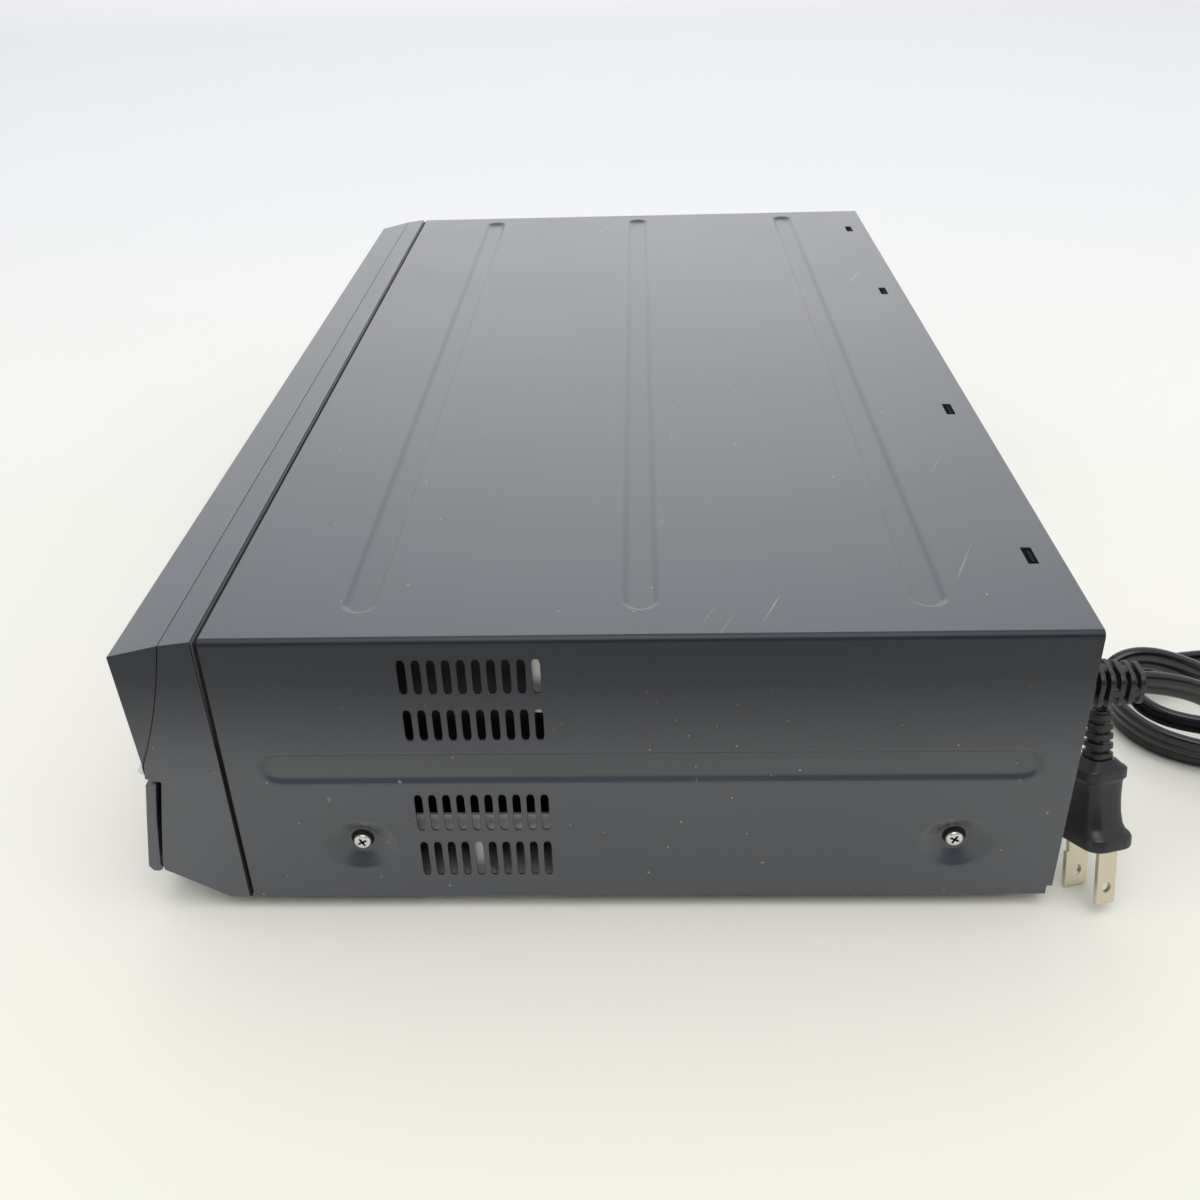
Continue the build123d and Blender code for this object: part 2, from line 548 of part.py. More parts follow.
def fascia():
    back = -FASCIA_GAP
    top_back = (back - 1.2, COVER_HEIGHT - 0.2)
    flap_back = [
        (FLAP_TOP[0] + FLAP_THICKNESS + FLAP_GAP + 0.3, FLAP_TOP[1] + 0.7),
        (FLAP_BULGE[0] + FLAP_THICKNESS + FLAP_GAP, FLAP_BULGE[1]),
        (CHIN[0], 13.6),
    ]
    edges = [seam_edge(0)]
    front_line = [SEAM_FOOT, LEDGE, *flap_back, CHIN]
    edges += outline_edges([*front_line, (CHIN_BACK, 0), (back, 0), top_back, SEAM_TOP])
    body = prism_x(edges, -WIDTH / 2, WIDTH / 2)
    wall = FASCIA_WALL
    front = POCKET_FLOOR + POCKET_WALL
    hollow = [
        (5, COVER_HEIGHT - 2.8),
        (SEAM_TOP[0] + 1.2, COVER_HEIGHT - 3.8),
        (SEAM_MIDDLE[0] + wall + 0.4, SEAM_MIDDLE[1]),
        (SEAM_FOOT[0] + wall + 0.4, SEAM_FOOT[1]),
        (LEDGE[0] + wall + 1.0, LEDGE[1] + 1.6),
        (front, LEDGE[1] - 0.8),
        (front, 14.5),
        (front - 1.2, 8.0),
        (CHIN_BACK + 0.6, wall),
        (5, wall),
    ]
    body -= prism_x(hollow, -WIDTH / 2 + wall, WIDTH / 2 - wall)
    body -= block(-POCKET_HALF, POCKET_HALF, -40, POCKET_FLOOR, POCKET_FOOT, POCKET_HEAD)
    # A lip behind the outside faces, which the cover's front edge closes over.
    lip_top = COVER_HEIGHT - SHEET - SEAT
    lip = block(-INSIDE_X + SEAT, INSIDE_X - SEAT, back - 3, 8.0, lip_top - 1.5, lip_top)
    for side in (1, -1):
        x0, x1 = sorted((side * (INSIDE_X - SEAT), side * (INSIDE_X - SEAT - 1.5)))
        lip += block(x0, x1, back - 3, 8.0, 8.0, lip_top)
    body += lip
    # Ways through: cassette, tray, display, round buttons, keys, front jacks.
    half = DOOR_HALF + 1
    body -= block(DECK_X - half, DECK_X + half, -40, 0, DOOR_TOP - DOOR_HEIGHT - 1, DOOR_TOP + 2.4)
    half = BEZEL_WIDTH / 2 + 2
    body -= block(LOADER_X - half, LOADER_X + half, -40, 0, TRAY_FLOOR - 4, LOADER_TOP + 4.6)
    half = LENS_WIDTH / 2 - 4
    body -= block(LOADER_X - half, LOADER_X + half, -40, 0, LENS_Z - 5.0, LENS_Z + 5.0)
    for x in round_button_spots():
        body -= bar_y(x, ROUND_BUTTON_Z, -40, 0, 3.5, hole=True)
    for x in key_spots():
        hole = Pos(x, 0, KEY_Z) * Box(KEY_WIDTH + 2 * FREE, 40, KEY_HEIGHT + 2 * FREE)
        body -= hole & block(-WIDTH, WIDTH, POCKET_FLOOR - 1, 0, 0, COVER_HEIGHT)
    for x in front_jack_spots():
        body -= bar_y(x, KEY_Z, POCKET_FLOOR - 1, 0, JACK_RADIUS + 0.4, hole=True)
    for x, z in front_board_bosses():
        body += bar_y(x, z, front - 0.5, FRONT_BOARD_Y, 3.0)
    for x in HINGES_X:
        left, right = x - HINGE_LUG / 2, x + HINGE_LUG / 2
        lug = bar_x(HINGE_Y, HINGE_Z, left, right, HINGE_RADIUS)
        lug += block(left, right, HINGE_Y, CHIN[0] + 1, HINGE_Z - 0.9, HINGE_Z + HINGE_RADIUS)
        body += lug
        body -= bar_x(HINGE_Y, HINGE_Z, x - HINGE_LUG, x + HINGE_LUG, HINGE_PIN + RUN, hole=True)
    return body


def front_board_bosses():
    return [(x, z) for x in (-120.0, 10.0, 180.0) for z in (18.0, 40.0)]


def round_button_spots():
    last = LOADER_X - BEZEL_WIDTH / 2 - ROUND_BUTTON_PITCH
    return [last - ROUND_BUTTON_PITCH, last]


def key_spots():
    return [KEY_FIRST_X + k * KEY_PITCH for k in range(len(KEY_NAMES))]


def front_jack_spots():
    return [FRONT_JACK_X + k * JACK_PITCH for k in range(3)]


def brow_panel():
    edges = [seam_edge(-SEAM_GAP, reverse=True)]
    edges += outline_edges(
        [
            (SEAM_TOP[0] - SEAM_GAP, SEAM_TOP[1]),
            BROW_CREST,
            BROW_FOOT,
            (SEAM_FOOT[0] - SEAM_GAP, SEAM_FOOT[1]),
        ]
    )
    brow = prism_x(edges, -WIDTH / 2, WIDTH / 2)
    wall = FASCIA_WALL
    hollow = [
        (-5.0, COVER_HEIGHT - 3.4),
        (SEAM_TOP[0] - 3.0, COVER_HEIGHT - 4.4),
        (BROW_CREST[0] + wall, BROW_CREST[1] - wall + 0.4),
        (BROW_FOOT[0] + wall, BROW_FOOT[1] + wall),
        (-5.0, BROW_FOOT[1] + wall),
    ]
    brow -= prism_x(hollow, -WIDTH / 2 + wall, WIDTH / 2 - wall)
    for side in (1, -1):
        x0, x1 = sorted((DECK_X + side * (DOOR_HALF + 0.6), DECK_X + side * (DOOR_HALF + 5.0)))
        ear = block(x0, x1, BROW_CREST[0] + 1.5, -18.5, DOOR_TOP - 5.5, COVER_HEIGHT - 4.6)
        brow += ear
    half, gap = DOOR_HALF + 0.4, 0.4
    brow -= block(DECK_X - half, DECK_X + half, -40, -18, DOOR_TOP - DOOR_HEIGHT - gap, DOOR_TOP + gap)
    half = BEZEL_WIDTH / 2 + gap
    head = BEZEL_FOOT + BEZEL_HEIGHT
    brow -= block(LOADER_X - half, LOADER_X + half, -40, -18, BEZEL_FOOT - gap, head + gap)
    half, tall = LENS_WIDTH / 2 + 0.1, LENS_HEIGHT / 2 + 0.1
    brow -= block(LOADER_X - half, LOADER_X + half, -40, -18, LENS_Z - tall, LENS_Z + tall)
    for x in round_button_spots():
        brow -= bar_y(x, ROUND_BUTTON_Z, -40, -18, ROUND_BUTTON + FREE, hole=True)
    pin_y, pin_z = door_axis()
    half = DOOR_HALF + 4.4
    brow -= bar_x(pin_y, pin_z, DECK_X - half, DECK_X + half, DOOR_PIN + RUN, hole=True)
    return brow


def door_axis():
    return brow_face(DOOR_TOP) + 1.9, DOOR_TOP - 1.4


def cassette_door():
    top, foot = DOOR_TOP, DOOR_TOP - DOOR_HEIGHT
    face = [
        (brow_face(top), top),
        (brow_face(foot), foot),
        (brow_face(foot) + DOOR_THICKNESS, foot),
        (brow_face(top) + DOOR_THICKNESS, top),
    ]
    door = prism_x(face, DECK_X - DOOR_HALF, DECK_X + DOOR_HALF)
    pin_y, pin_z = door_axis()
    door += bar_x(pin_y, pin_z, DECK_X - DOOR_HALF - 4.0, DECK_X + DOOR_HALF + 4.0, DOOR_PIN)
    back, half = brow_face(foot) + 1.5, DOOR_HALF - 12
    return door + block(DECK_X - half, DECK_X + half, back, back + 1.7, foot + 3, foot + 5)


def trim_strip():
    z = SEAM_FOOT[1] - TRIM_RADIUS
    flat = SEAM_FOOT[0] - 0.42
    edges = [
        Line((0, flat, z - TRIM_RADIUS), (0, flat, z + TRIM_RADIUS)),
        ThreePointArc((0, flat, z + TRIM_RADIUS), (0, flat - TRIM_RADIUS, z), (0, flat, z - TRIM_RADIUS)),
    ]
    return prism_x(edges, -WIDTH / 2, WIDTH / 2)


def display_window():
    top, foot = LENS_Z + LENS_HEIGHT / 2, LENS_Z - LENS_HEIGHT / 2
    face = [
        (brow_face(top) + 0.1, top),
        (brow_face(foot) + 0.1, foot),
        (brow_face(foot) + 1.9, foot),
        (brow_face(top) + 1.9, top),
    ]
    return prism_x(face, LOADER_X - LENS_WIDTH / 2, LOADER_X + LENS_WIDTH / 2)


def front_flap():
    t = FLAP_THICKNESS
    outline = [
        FLAP_TOP,
        FLAP_BULGE,
        FLAP_FOOT,
        (FLAP_FOOT[0] + 1.2, HINGE_Z - HINGE_RADIUS + 0.2),
        (HINGE_Y, HINGE_Z - HINGE_RADIUS),
        (HINGE_Y + 1.06, HINGE_Z - 1.06),
        (HINGE_Y + HINGE_RADIUS, HINGE_Z),
        (HINGE_Y + 1.06, HINGE_Z + 1.3),
        (FLAP_BULGE[0] + t, FLAP_BULGE[1]),
        (FLAP_TOP[0] + t, FLAP_TOP[1]),
    ]
    flap = prism_x(outline, -WIDTH / 2, WIDTH / 2)
    half = HINGE_LUG / 2 + FREE
    for x in HINGES_X:
        flap -= block(x - half, x + half, -35, -20, 5, HINGE_Z + 3.0)
        flap += bar_x(HINGE_Y, HINGE_Z, x - half - 1, x + half + 1, HINGE_PIN)
    return flap


def feet():
    pads = []
    for x in (37.0 - WIDTH / 2, WIDTH / 2 - 37.0):
        for y in (28.0, 206.0):
            pad = Pos(x, y, -FOOT_HEIGHT) * taper(8.3, 9.5, FOOT_HEIGHT - 1.2, 12) + post(x, y, -1.2, 0, 9.5)
            pads.append(pad - post(x, y, -FOOT_HEIGHT - 1, 1, 3.0, hole=True))
    return pads


def screws():
    group = []
    for side in (1, -1):
        for y in DIMPLES_Y:
            seat = side * (WIDTH / 2 - DIMPLE_DEPTH)
            group.append(Pos(seat, y, DIMPLE_Z) * Rot(0, side * 90, 0) * pan_screw(SCREW_LENGTH))
        spot = Pos(side * (WALL_X - 5.5), PANEL_Y + PAN_SHEET, 45.0)
        group.append(spot * Rot(-90, 0, 0) * pan_screw(SCREW_LENGTH))
    for x in TOP_SCREWS_X:
        spot = Pos(x, COVER_DEPTH, COVER_HEIGHT - TOP_SCREW_DROP)
        group.append(spot * Rot(-90, 0, 0) * pan_screw(SCREW_LENGTH))
    return group


# ---------------------------------------------------------------- controls and front electronics
def round_buttons():
    made = []
    face = brow_face(ROUND_BUTTON_Z)
    end = FRONT_BOARD_Y - SWITCH_HEIGHT - BUTTON_TRAVEL - SEAT
    for x in round_button_spots():
        head = bar_y(x, ROUND_BUTTON_Z, face - 0.9, -17.0, ROUND_BUTTON)
        head = chamfer(head.edges().group_by(Axis.Y)[0], 0.5)
        made.append(head + bar_y(x, ROUND_BUTTON_Z, -17.5, end, 3.0))
    return made


def keys():
    made = []
    wall_back = POCKET_FLOOR + POCKET_WALL + SEAT
    end = FRONT_BOARD_Y - SWITCH_HEIGHT - BUTTON_TRAVEL - SEAT
    for x in key_spots():
        half, tall = KEY_WIDTH / 2, KEY_HEIGHT / 2
        cap = block(x - half, x + half, POCKET_FLOOR - KEY_PROUD, wall_back + 0.4, KEY_Z - tall, KEY_Z + tall)
        cap = chamfer(cap.edges().group_by(Axis.Y)[0], 0.5)
        half, tall = half + 1, tall + 1
        made.append(cap + block(x - half, x + half, wall_back, end, KEY_Z - tall, KEY_Z + tall))
    return made


def front_board():
    back = FRONT_BOARD_Y + BOARD
    half = WIDTH / 2 - 15.0
    first, last = round_button_spots()
    board = block(-half, half, FRONT_BOARD_Y, back, 14, 50)
    left = LOADER_X - LENS_WIDTH / 2 - 24
    board += block(left, half, FRONT_BOARD_Y, back, 50, LENS_Z + LENS_HEIGHT / 2 - 0.8)
    board += block(first - 12, last + 14, FRONT_BOARD_Y, back, 50, ROUND_BUTTON_Z + 7)
    spots = [(x, ROUND_BUTTON_Z) for x in round_button_spots()] + [(x, KEY_Z) for x in key_spots()]
    for x, z in spots:
        board += block(x - 3, x + 3, FRONT_BOARD_Y - 2.6, FRONT_BOARD_Y, z - 3, z + 3)
        board += bar_y(x, z, FRONT_BOARD_Y - SWITCH_HEIGHT, FRONT_BOARD_Y - 2.5, 1.5)
    for x, z, wide in ((-60, 34, 14), (-40, 22, 8), (30, 42, 10), (176, 46, 10)):
        board += block(x - wide / 2, x + wide / 2, back - 0.2, back + 2.2, z - 4, z + 4)
    return board


def display_tube():
    half = LENS_WIDTH / 2 - 6
    tube = block(LOADER_X - half, LOADER_X + half, -13.0, FRONT_BOARD_Y, LENS_Z - 4.0, LENS_Z + 3.2)
    return chamfer(tube.edges().group_by(Axis.Y)[0], 0.6)


def front_jacks():
    base_front = POCKET_FLOOR + POCKET_WALL + SEAT
    left, right = front_jack_spots()[0] - 7.5, front_jack_spots()[-1] + 7.5
    gang = block(left, right, base_front, FRONT_BOARD_Y, KEY_Z - 7, KEY_Z + 7)
    for x in front_jack_spots():
        gang += bar_y(x, KEY_Z, POCKET_FLOOR - 5.0, base_front + 1, JACK_RADIUS)
        gang -= bar_y(x, KEY_Z, POCKET_FLOOR - 6.0, POCKET_FLOOR + 4, 1.6, hole=True)
        gang -= bar_y(x, KEY_Z, POCKET_FLOOR - 6.0, POCKET_FLOOR - 2.5, 3.0, hole=True)
    return gang


# ---------------------------------------------------------------- main and power electronics
def main_board():
    top = BOARD_LEVEL + BOARD
    board = block(DECK_X - 87, DECK_X + 150, 100, PANEL_Y - 4, BOARD_LEVEL, top)
    for x, y in deck_posts():
        board -= post(x, y, 0, 20, 5.5, hole=True)
    chips = ((-15, 192, 28, 28, 2.6), (45, 176, 20, 20, 2.4), (105, 208, 24, 14, 3.0))
    chips += ((-60, 150, 14, 22, 2.8), (-15, 140, 12, 10, 2.0), (52, 126, 22, 10, 1.8))
    chips += ((125, 150, 18, 12, 2.6), (129, 180, 10, 20, 3.0))
    for x, y, wide, deep, high in chips:
        board += Pos(DECK_X + x, y, top + high / 2) * Box(wide, deep, high + 0.4)
    for x, y, wide in ((-70, 118, 24), (5, 108, 30), (135, 118, 18)):
        board += Pos(DECK_X + x, y, top + 4) * (Box(wide, 6, 8.2) - Pos(0, 0, 2) * Box(wide - 2, 4, 8))
    for x, y, radius, high in ((-65, 190, 4, 9), (-53, 190, 4, 9), (17, 216, 3, 7), (133, 216, 5, 12)):
        board += post(DECK_X + x, y, top - 0.2, top + high, radius)
    return board + block(DECK_X + 75, DECK_X + 125, 222, PANEL_Y - 5, top - 0.2, top + 14)


def power_board():
    top = BOARD_LEVEL + BOARD
    x = POWER_X
    board = block(x - 47, x + 47, 42, PANEL_Y - 8, BOARD_LEVEL, top)
    board += block(x + 31, x + 39, 186, 208, top - 0.2, top + 9)
    board += block(x + 9, x + 25, 60, 66, top - 0.2, top + 8)
    board += bar_y(x + 25, top + 5, 100, 120, 2.6)
    for y in (100, 118):
        board += block(x + 22, x + 28, y, y + 2, top - 0.2, top + 8)
    return board


def transformer():
    low = BOARD_LEVEL + BOARD
    x, y = POWER_X + 7, 203
    core = block(x - 16, x + 16, y - 8, y + 8, low + 3, low + 31)
    core -= block(x - 11, x + 11, y - 9, y + 9, low + 8, low + 26)
    core += block(x - 5, x + 5, y - 8, y + 8, low + 7, low + 27)
    winding = block(x - 10.5, x + 10.5, y - 13, y + 13, low + 8.2, low + 25.8)
    winding = chamfer(winding.edges().filter_by(Axis.Z), 2.5)
    bobbin = block(x - 13, x + 13, y - 14, y + 14, low, low + 3)
    return core + winding + bobbin


def capacitors():
    low = BOARD_LEVEL + BOARD
    cans = []
    for x, y, radius, high in ((-29, 202, 10, 32), (-27, 176, 8, 27)):
        can = post(POWER_X + x, y, low, low + high, radius)
        groove = post(POWER_X + x, y, low + 2, low + 3, radius + 1)
        cans.append(can - (groove - post(POWER_X + x, y, low + 2, low + 3, radius - 0.5)))
    for x, y, radius, high in ((-1, 172, 5, 20), (15, 172, 5, 20), (29, 172, 4, 16), (-21, 72, 5, 18)):
        cans.append(post(POWER_X + x, y, low, low + high, radius))
    return cans


def heatsinks():
    low = BOARD_LEVEL + BOARD
    made = []
    for x, y, long in ((POWER_X - 31, 112, 44), (POWER_X + 37, 140, 30)):
        sink = block(x - 1.5, x + 1.5, y - long / 2, y + long / 2, low, low + 26)
        for k in range(int(long / 6) + 1):
            at = y - long / 2 + 0.7 + k * (long - 1.4) / int(long / 6)
            sink += block(x - 8, x + 5, at - 0.7, at + 0.7, low + 3, low + 26)
        made.append(sink)
    return made


# ---------------------------------------------------------------- disc drive
def loader_frame():
    left, right = LOADER_X - LOADER_WIDTH / 2, LOADER_X + LOADER_WIDTH / 2
    front, back = LOADER_FRONT, LOADER_FRONT + LOADER_DEPTH
    wall, floor = LOADER_WALL, LOADER_FLOOR
    inner_left, inner_right = left + wall, right - wall
    frame = block(left, right, front, back, floor, floor + wall)
    frame -= block(LOADER_X - 50, LOADER_X + 50, front + 28, back - 34, floor - 1, floor + wall + 1)
    frame -= block(PINION_AT[0] - 15, PINION_AT[0] + 15, front - 1, front + 28, floor - 1, floor + wall + 1)
    frame += block(left, inner_left, front, back, floor, LOADER_TOP)
    frame += block(inner_right, right, front, back, floor, LOADER_TOP)
    frame += block(left, right, back - wall, back, floor, LOADER_TOP - 6)
    shelf_top = TRAY_FLOOR - 7.6
    frame += block(left, right, front, front + 27, shelf_top - 2.4, shelf_top)
    ledge_top = TRAY_FLOOR - FREE
    for x0, x1 in ((inner_left, RACK_X - 6.6), (LOADER_X + TRAY_WIDTH / 2 - 1.6, inner_right)):
        frame += block(x0, x1, front, back, ledge_top - 2, ledge_top)
    tab_low = TRAY_FLOOR + TRAY_RIM + FREE
    for y in (front + 4, front + 92):
        frame += block(inner_left, LOADER_X - TRAY_WIDTH / 2 + 3, y, y + 12, tab_low, tab_low + 2)
        frame += block(LOADER_X + TRAY_WIDTH / 2 - 3, inner_right, y, y + 12, tab_low, tab_low + 2)
    for x0, x1 in ((left, inner_left), (inner_right, right)):
        for y in (front + 8, back - 28):
            frame += block(x0, x1, y, y + 20, PAN_SHEET, floor + 1)
    hinge_y, hinge_z = TRAVERSE_PIVOT
    for side in (-1, 1):
        near = LOADER_X + side * (TRAVERSE_WIDTH / 2 + 1.0)
        far = LOADER_X + side * (TRAVERSE_WIDTH / 2 + 5.0)
        frame += block(min(near, far), max(near, far), hinge_y - 6, hinge_y + 6, floor, hinge_z + 4)
        frame -= bar_x(hinge_y, hinge_z, min(near, far) - 1, max(near, far) + 1, 2.0 + RUN, hole=True)
    frame += post(GEAR_AT[0], GEAR_AT[1], shelf_top - 1, TRAY_FLOOR - 1.0, 2.0)
    frame -= post(PINION_AT[0], PINION_AT[1], shelf_top - 4, shelf_top + 1, 3.2, hole=True)
    return frame


def disc_tray():
    left, right = LOADER_X - TRAY_WIDTH / 2, LOADER_X + TRAY_WIDTH / 2
    front, back = TRAY_FRONT, TRAY_FRONT + TRAY_DEPTH
    top = TRAY_FLOOR + TRAY_RIM
    tray = block(left, right, front, back, TRAY_FLOOR, top)
    tray = chamfer(tray.edges().filter_by(Axis.Z).group_by(Axis.Y)[-1], 6)
    tray -= post(LOADER_X, DISC_Y, TRAY_FLOOR + TRAY_SHEET, top + 1, DISC_RADIUS + 0.5, hole=True)
    tray -= post(LOADER_X, DISC_Y, TRAY_FLOOR + TRAY_SHEET - 0.8, top + 1, 41.0, hole=True)
    tray -= block(LOADER_X - 54, LOADER_X + 54, back - 28, back - 4, TRAY_FLOOR + TRAY_SHEET, top + 1)
    half = TRAY_WINDOW / 2
    end = DISC_Y + DISC_RADIUS + 4
    window = block(LOADER_X - half, LOADER_X + half, DISC_Y - half, end, TRAY_FLOOR - 1, top + 1)
    tray -= chamfer(window.edges().filter_by(Axis.Z).group_by(Axis.Y)[0], 11)
    for side in (-1, 1):
        tray -= post(LOADER_X + side * (DISC_RADIUS + 1), DISC_Y, TRAY_FLOOR - 1, TRAY_FLOOR + 1.2, 1)
    tray -= post(LOADER_X, DISC_Y - DISC_RADIUS + 2, TRAY_FLOOR + TRAY_SHEET, top + 1, 9.0)
    rack_back = RACK_X - 5.6
    pitch = math.pi * TOOTH_MODULE
    rack = block(rack_back, RACK_X - 1.15, GEAR_AT[1] - 8, back - 9, TRAY_FLOOR - RACK_DROP, TRAY_FLOOR + 0.5)
    thick = pitch / 4 - BACKLASH / 2
    slope = math.tan(math.radians(20))
    outline = [(RACK_X - 1.4, GEAR_AT[1] - 2.5 * pitch)]
    count = int((back - 10 - GEAR_AT[1]) / pitch)
    for k in range(-2, count):
        y = GEAR_AT[1] + (k + 0.5) * pitch
        outline.append((RACK_X - 1.15, y - thick - 1.15 * slope))
        outline.append((RACK_X + 0.9, y - thick + 0.9 * slope))
        outline.append((RACK_X + 0.9, y + thick - 0.9 * slope))
        outline.append((RACK_X - 1.15, y + thick + 1.15 * slope))
    outline.append((RACK_X - 1.4, outline[-1][1] + 0.2))
    rack += prism_z(outline, TRAY_FLOOR - RACK_DROP, TRAY_FLOOR + 0.5)
    return tray + rack


def tray_bezel():
    foot, head = BEZEL_FOOT, BEZEL_FOOT + BEZEL_HEIGHT
    face = [
        (brow_face(head) - 0.1, head),
        (brow_face(foot) - 0.1, foot),
        (brow_face(foot) + BEZEL_THICKNESS, foot),
        (brow_face(head) + BEZEL_THICKNESS, head),
    ]
    bezel = prism_x(face, LOADER_X - BEZEL_WIDTH / 2, LOADER_X + BEZEL_WIDTH / 2)
    bezel += block(LOADER_X - 58, LOADER_X + 58, -22.5, TRAY_FRONT, TRAY_FLOOR, TRAY_FLOOR + TRAY_RIM)
    return bezel


def tray_gear():
    return Pos(GEAR_AT[0], GEAR_AT[1], TRAY_FLOOR - 7.4) * gear(GEAR_TEETH, 7.0, 2.0 + RUN)


def motor_pinion():
    turned = Rot(0, 0, 180 / PINION_TEETH) * gear(PINION_TEETH, 5.6, 0)
    shaft = post(0, 0, -12, 5.6, 1.0)
    return Pos(PINION_AT[0], PINION_AT[1], TRAY_FLOOR - 6.8) * (turned + shaft)


def loading_motor():
    shelf_low = TRAY_FLOOR - 10.0
    x, y = PINION_AT
    motor = post(x, y, shelf_low - 19, shelf_low, 11.0)
    motor = chamfer(motor.edges().group_by(Axis.Z)[0], 1.0)
    motor += post(x, y, shelf_low - 1, shelf_low + 2.0, 3.0)
    motor -= post(x, y, shelf_low - 12, shelf_low + 3, 1.0 + RUN, hole=True)
    for side in (-1, 1):
        motor += block(x + side * 6 - 1, x + side * 6 + 1, y - 0.4, y + 0.4, shelf_low - 23, shelf_low - 18)
    return motor


def lowered(shape):
    """Swings a piece of the traverse down about its rear pins."""
    hinge_y, hinge_z = TRAVERSE_PIVOT
    return shape.rotate(Axis((0, hinge_y, hinge_z), (1, 0, 0)), TRAVERSE_DROP)


ROD_Z = TRAVERSE_LEVEL - 4.0
ROD_FRONT = DISC_Y + 10.0
ROD_BACK = DISC_Y + 90.0
SLED_FRONT = DISC_Y + 14.5


def traverse():
    half = TRAVERSE_WIDTH / 2
    low, top = TRAVERSE_LEVEL, TRAVERSE_LEVEL + 2.0
    front = TRAVERSE_BACK - TRAVERSE_DEPTH
    plate = block(LOADER_X - half, LOADER_X + half, front, TRAVERSE_BACK, low, top)
    well_back = SLED_FRONT + SLED_DEPTH + SLED_TRAVEL + 2
    plate -= block(LOADER_X - 25, LOADER_X + 25, SLED_FRONT - 1, well_back, low - 1, top + 1)
    plate += post(LOADER_X, DISC_Y, low, top + 6.0, 12.0) - post(LOADER_X, DISC_Y, top + 1, top + 7, 10.0)
    plate += post(LOADER_X, DISC_Y, low, top + 6.0, 4.0)
    plate -= post(LOADER_X, DISC_Y, low - 1, top + 7, SPINDLE_RADIUS + RUN, hole=True)
    for y, y0, y1 in ((ROD_FRONT, -2.1, 4.0), (ROD_BACK, -4.0, 2.1)):
        for x in (LOADER_X - ROD_SPACING / 2, LOADER_X + ROD_SPACING / 2):
            plate += block(x - 4, x + 4, y - 3, y + 3, ROD_Z - 2.6, low + 0.1)
            plate -= bar_y(x, ROD_Z, y + y0, y + y1, ROD_RADIUS + RUN, hole=True)
        x = LOADER_X + LEAD_SCREW_OFFSET
        plate += block(x - 4, x + 4, y - 3, y + 3, ROD_Z - 2.6, low + 0.1)
        plate -= bar_y(x, ROD_Z, y + y0, y + y1, JOURNAL + RUN, hole=True)
    hinge_y, hinge_z = TRAVERSE_PIVOT
    for side in (-1, 1):
        x0, x1 = sorted((LOADER_X + side * (half - 1), LOADER_X + side * (half + 4.6)))
        plate += bar_x(hinge_y, hinge_z, x0, x1, 2.0)
        x0, x1 = sorted((LOADER_X + side * (half - 3), LOADER_X + side * half))
        plate += block(x0, x1, front, TRAVERSE_BACK, low, low + 5)
    return lowered(plate)


def turntable():
    plate_top = TRAY_FLOOR + 4.0
    rotor = post(LOADER_X, DISC_Y, plate_top - 6.6, plate_top - 2, 13.5) - post(
        LOADER_X, DISC_Y, plate_top - 7, plate_top - 4, 12.4
    )
    rotor += post(LOADER_X, DISC_Y, plate_top - 2.5, plate_top, 14.5)
    rotor += Pos(LOADER_X, DISC_Y, plate_top) * taper(7.4, 5.6, 2.6, 12)
    rotor -= post(LOADER_X, DISC_Y, plate_top + 1.4, plate_top + 4, 4.2)
    rotor += post(LOADER_X, DISC_Y, TRAVERSE_LEVEL + 0.4, plate_top + 1.6, SPINDLE_RADIUS)
    return lowered(rotor)


def optical_sled():
    y0, y1 = SLED_FRONT, SLED_FRONT + SLED_DEPTH
    low = ROD_Z - 2.5
    sled = block(LOADER_X - 23, LOADER_X + 23, y0, y1, low, TRAVERSE_LEVEL + 5.0)
    sled = chamfer(sled.edges().filter_by(Axis.Z), 5.0)
    sled += block(LOADER_X - 36, LOADER_X + 36, y0 + 6, y1 - 6, low, TRAVERSE_LEVEL - 1.2)
    sled += block(LOADER_X + 30, LOADER_X + 42.5, y0 + 11, y1 - 11, low, TRAVERSE_LEVEL - 1.2)
    for x in (LOADER_X - ROD_SPACING / 2, LOADER_X + ROD_SPACING / 2):
        sled -= bar_y(x, ROD_Z, y0 - 1, y1 + 1, ROD_RADIUS + RUN, hole=True)
    sled -= bar_y(LOADER_X + LEAD_SCREW_OFFSET, ROD_Z, y0 - 1, y1 + 1, LEAD_SCREW + RUN, hole=True)
    well = block(LOADER_X - 10, LOADER_X + 10, y0 + 3, y0 + 19, TRAVERSE_LEVEL + 2, TRAVERSE_LEVEL + 6)
    return lowered(sled - well)


def objective_lens():
    y = SLED_FRONT + 11
    low = TRAVERSE_LEVEL + 2
    holder = block(LOADER_X - 8, LOADER_X + 8, y - 6, y + 6, low, low + 3.6)
    holder = chamfer(holder.edges().filter_by(Axis.Z), 2.0)
    holder += post(LOADER_X, y, low + 3, low + 5.0, 4.0)
    holder -= Pos(LOADER_X, y, low + 4.0) * taper(1.2, 3.0, 1.1, 12)
    return lowered(holder)


def sled_rods():
    rods = []
    for x in (LOADER_X - ROD_SPACING / 2, LOADER_X + ROD_SPACING / 2):
        rods.append(lowered(bar_y(x, ROD_Z, ROD_FRONT - 2.0, ROD_BACK + 2.0, ROD_RADIUS)))
    return rods


def lead_screw():
    x = LOADER_X + LEAD_SCREW_OFFSET
    screw = bar_y(x, ROD_Z, ROD_FRONT - 2.0, ROD_BACK + 2.0, JOURNAL)
    screw += bar_y(x, ROD_Z, ROD_FRONT + 3.2, ROD_BACK - 3.2, LEAD_SCREW)
    return lowered(screw)


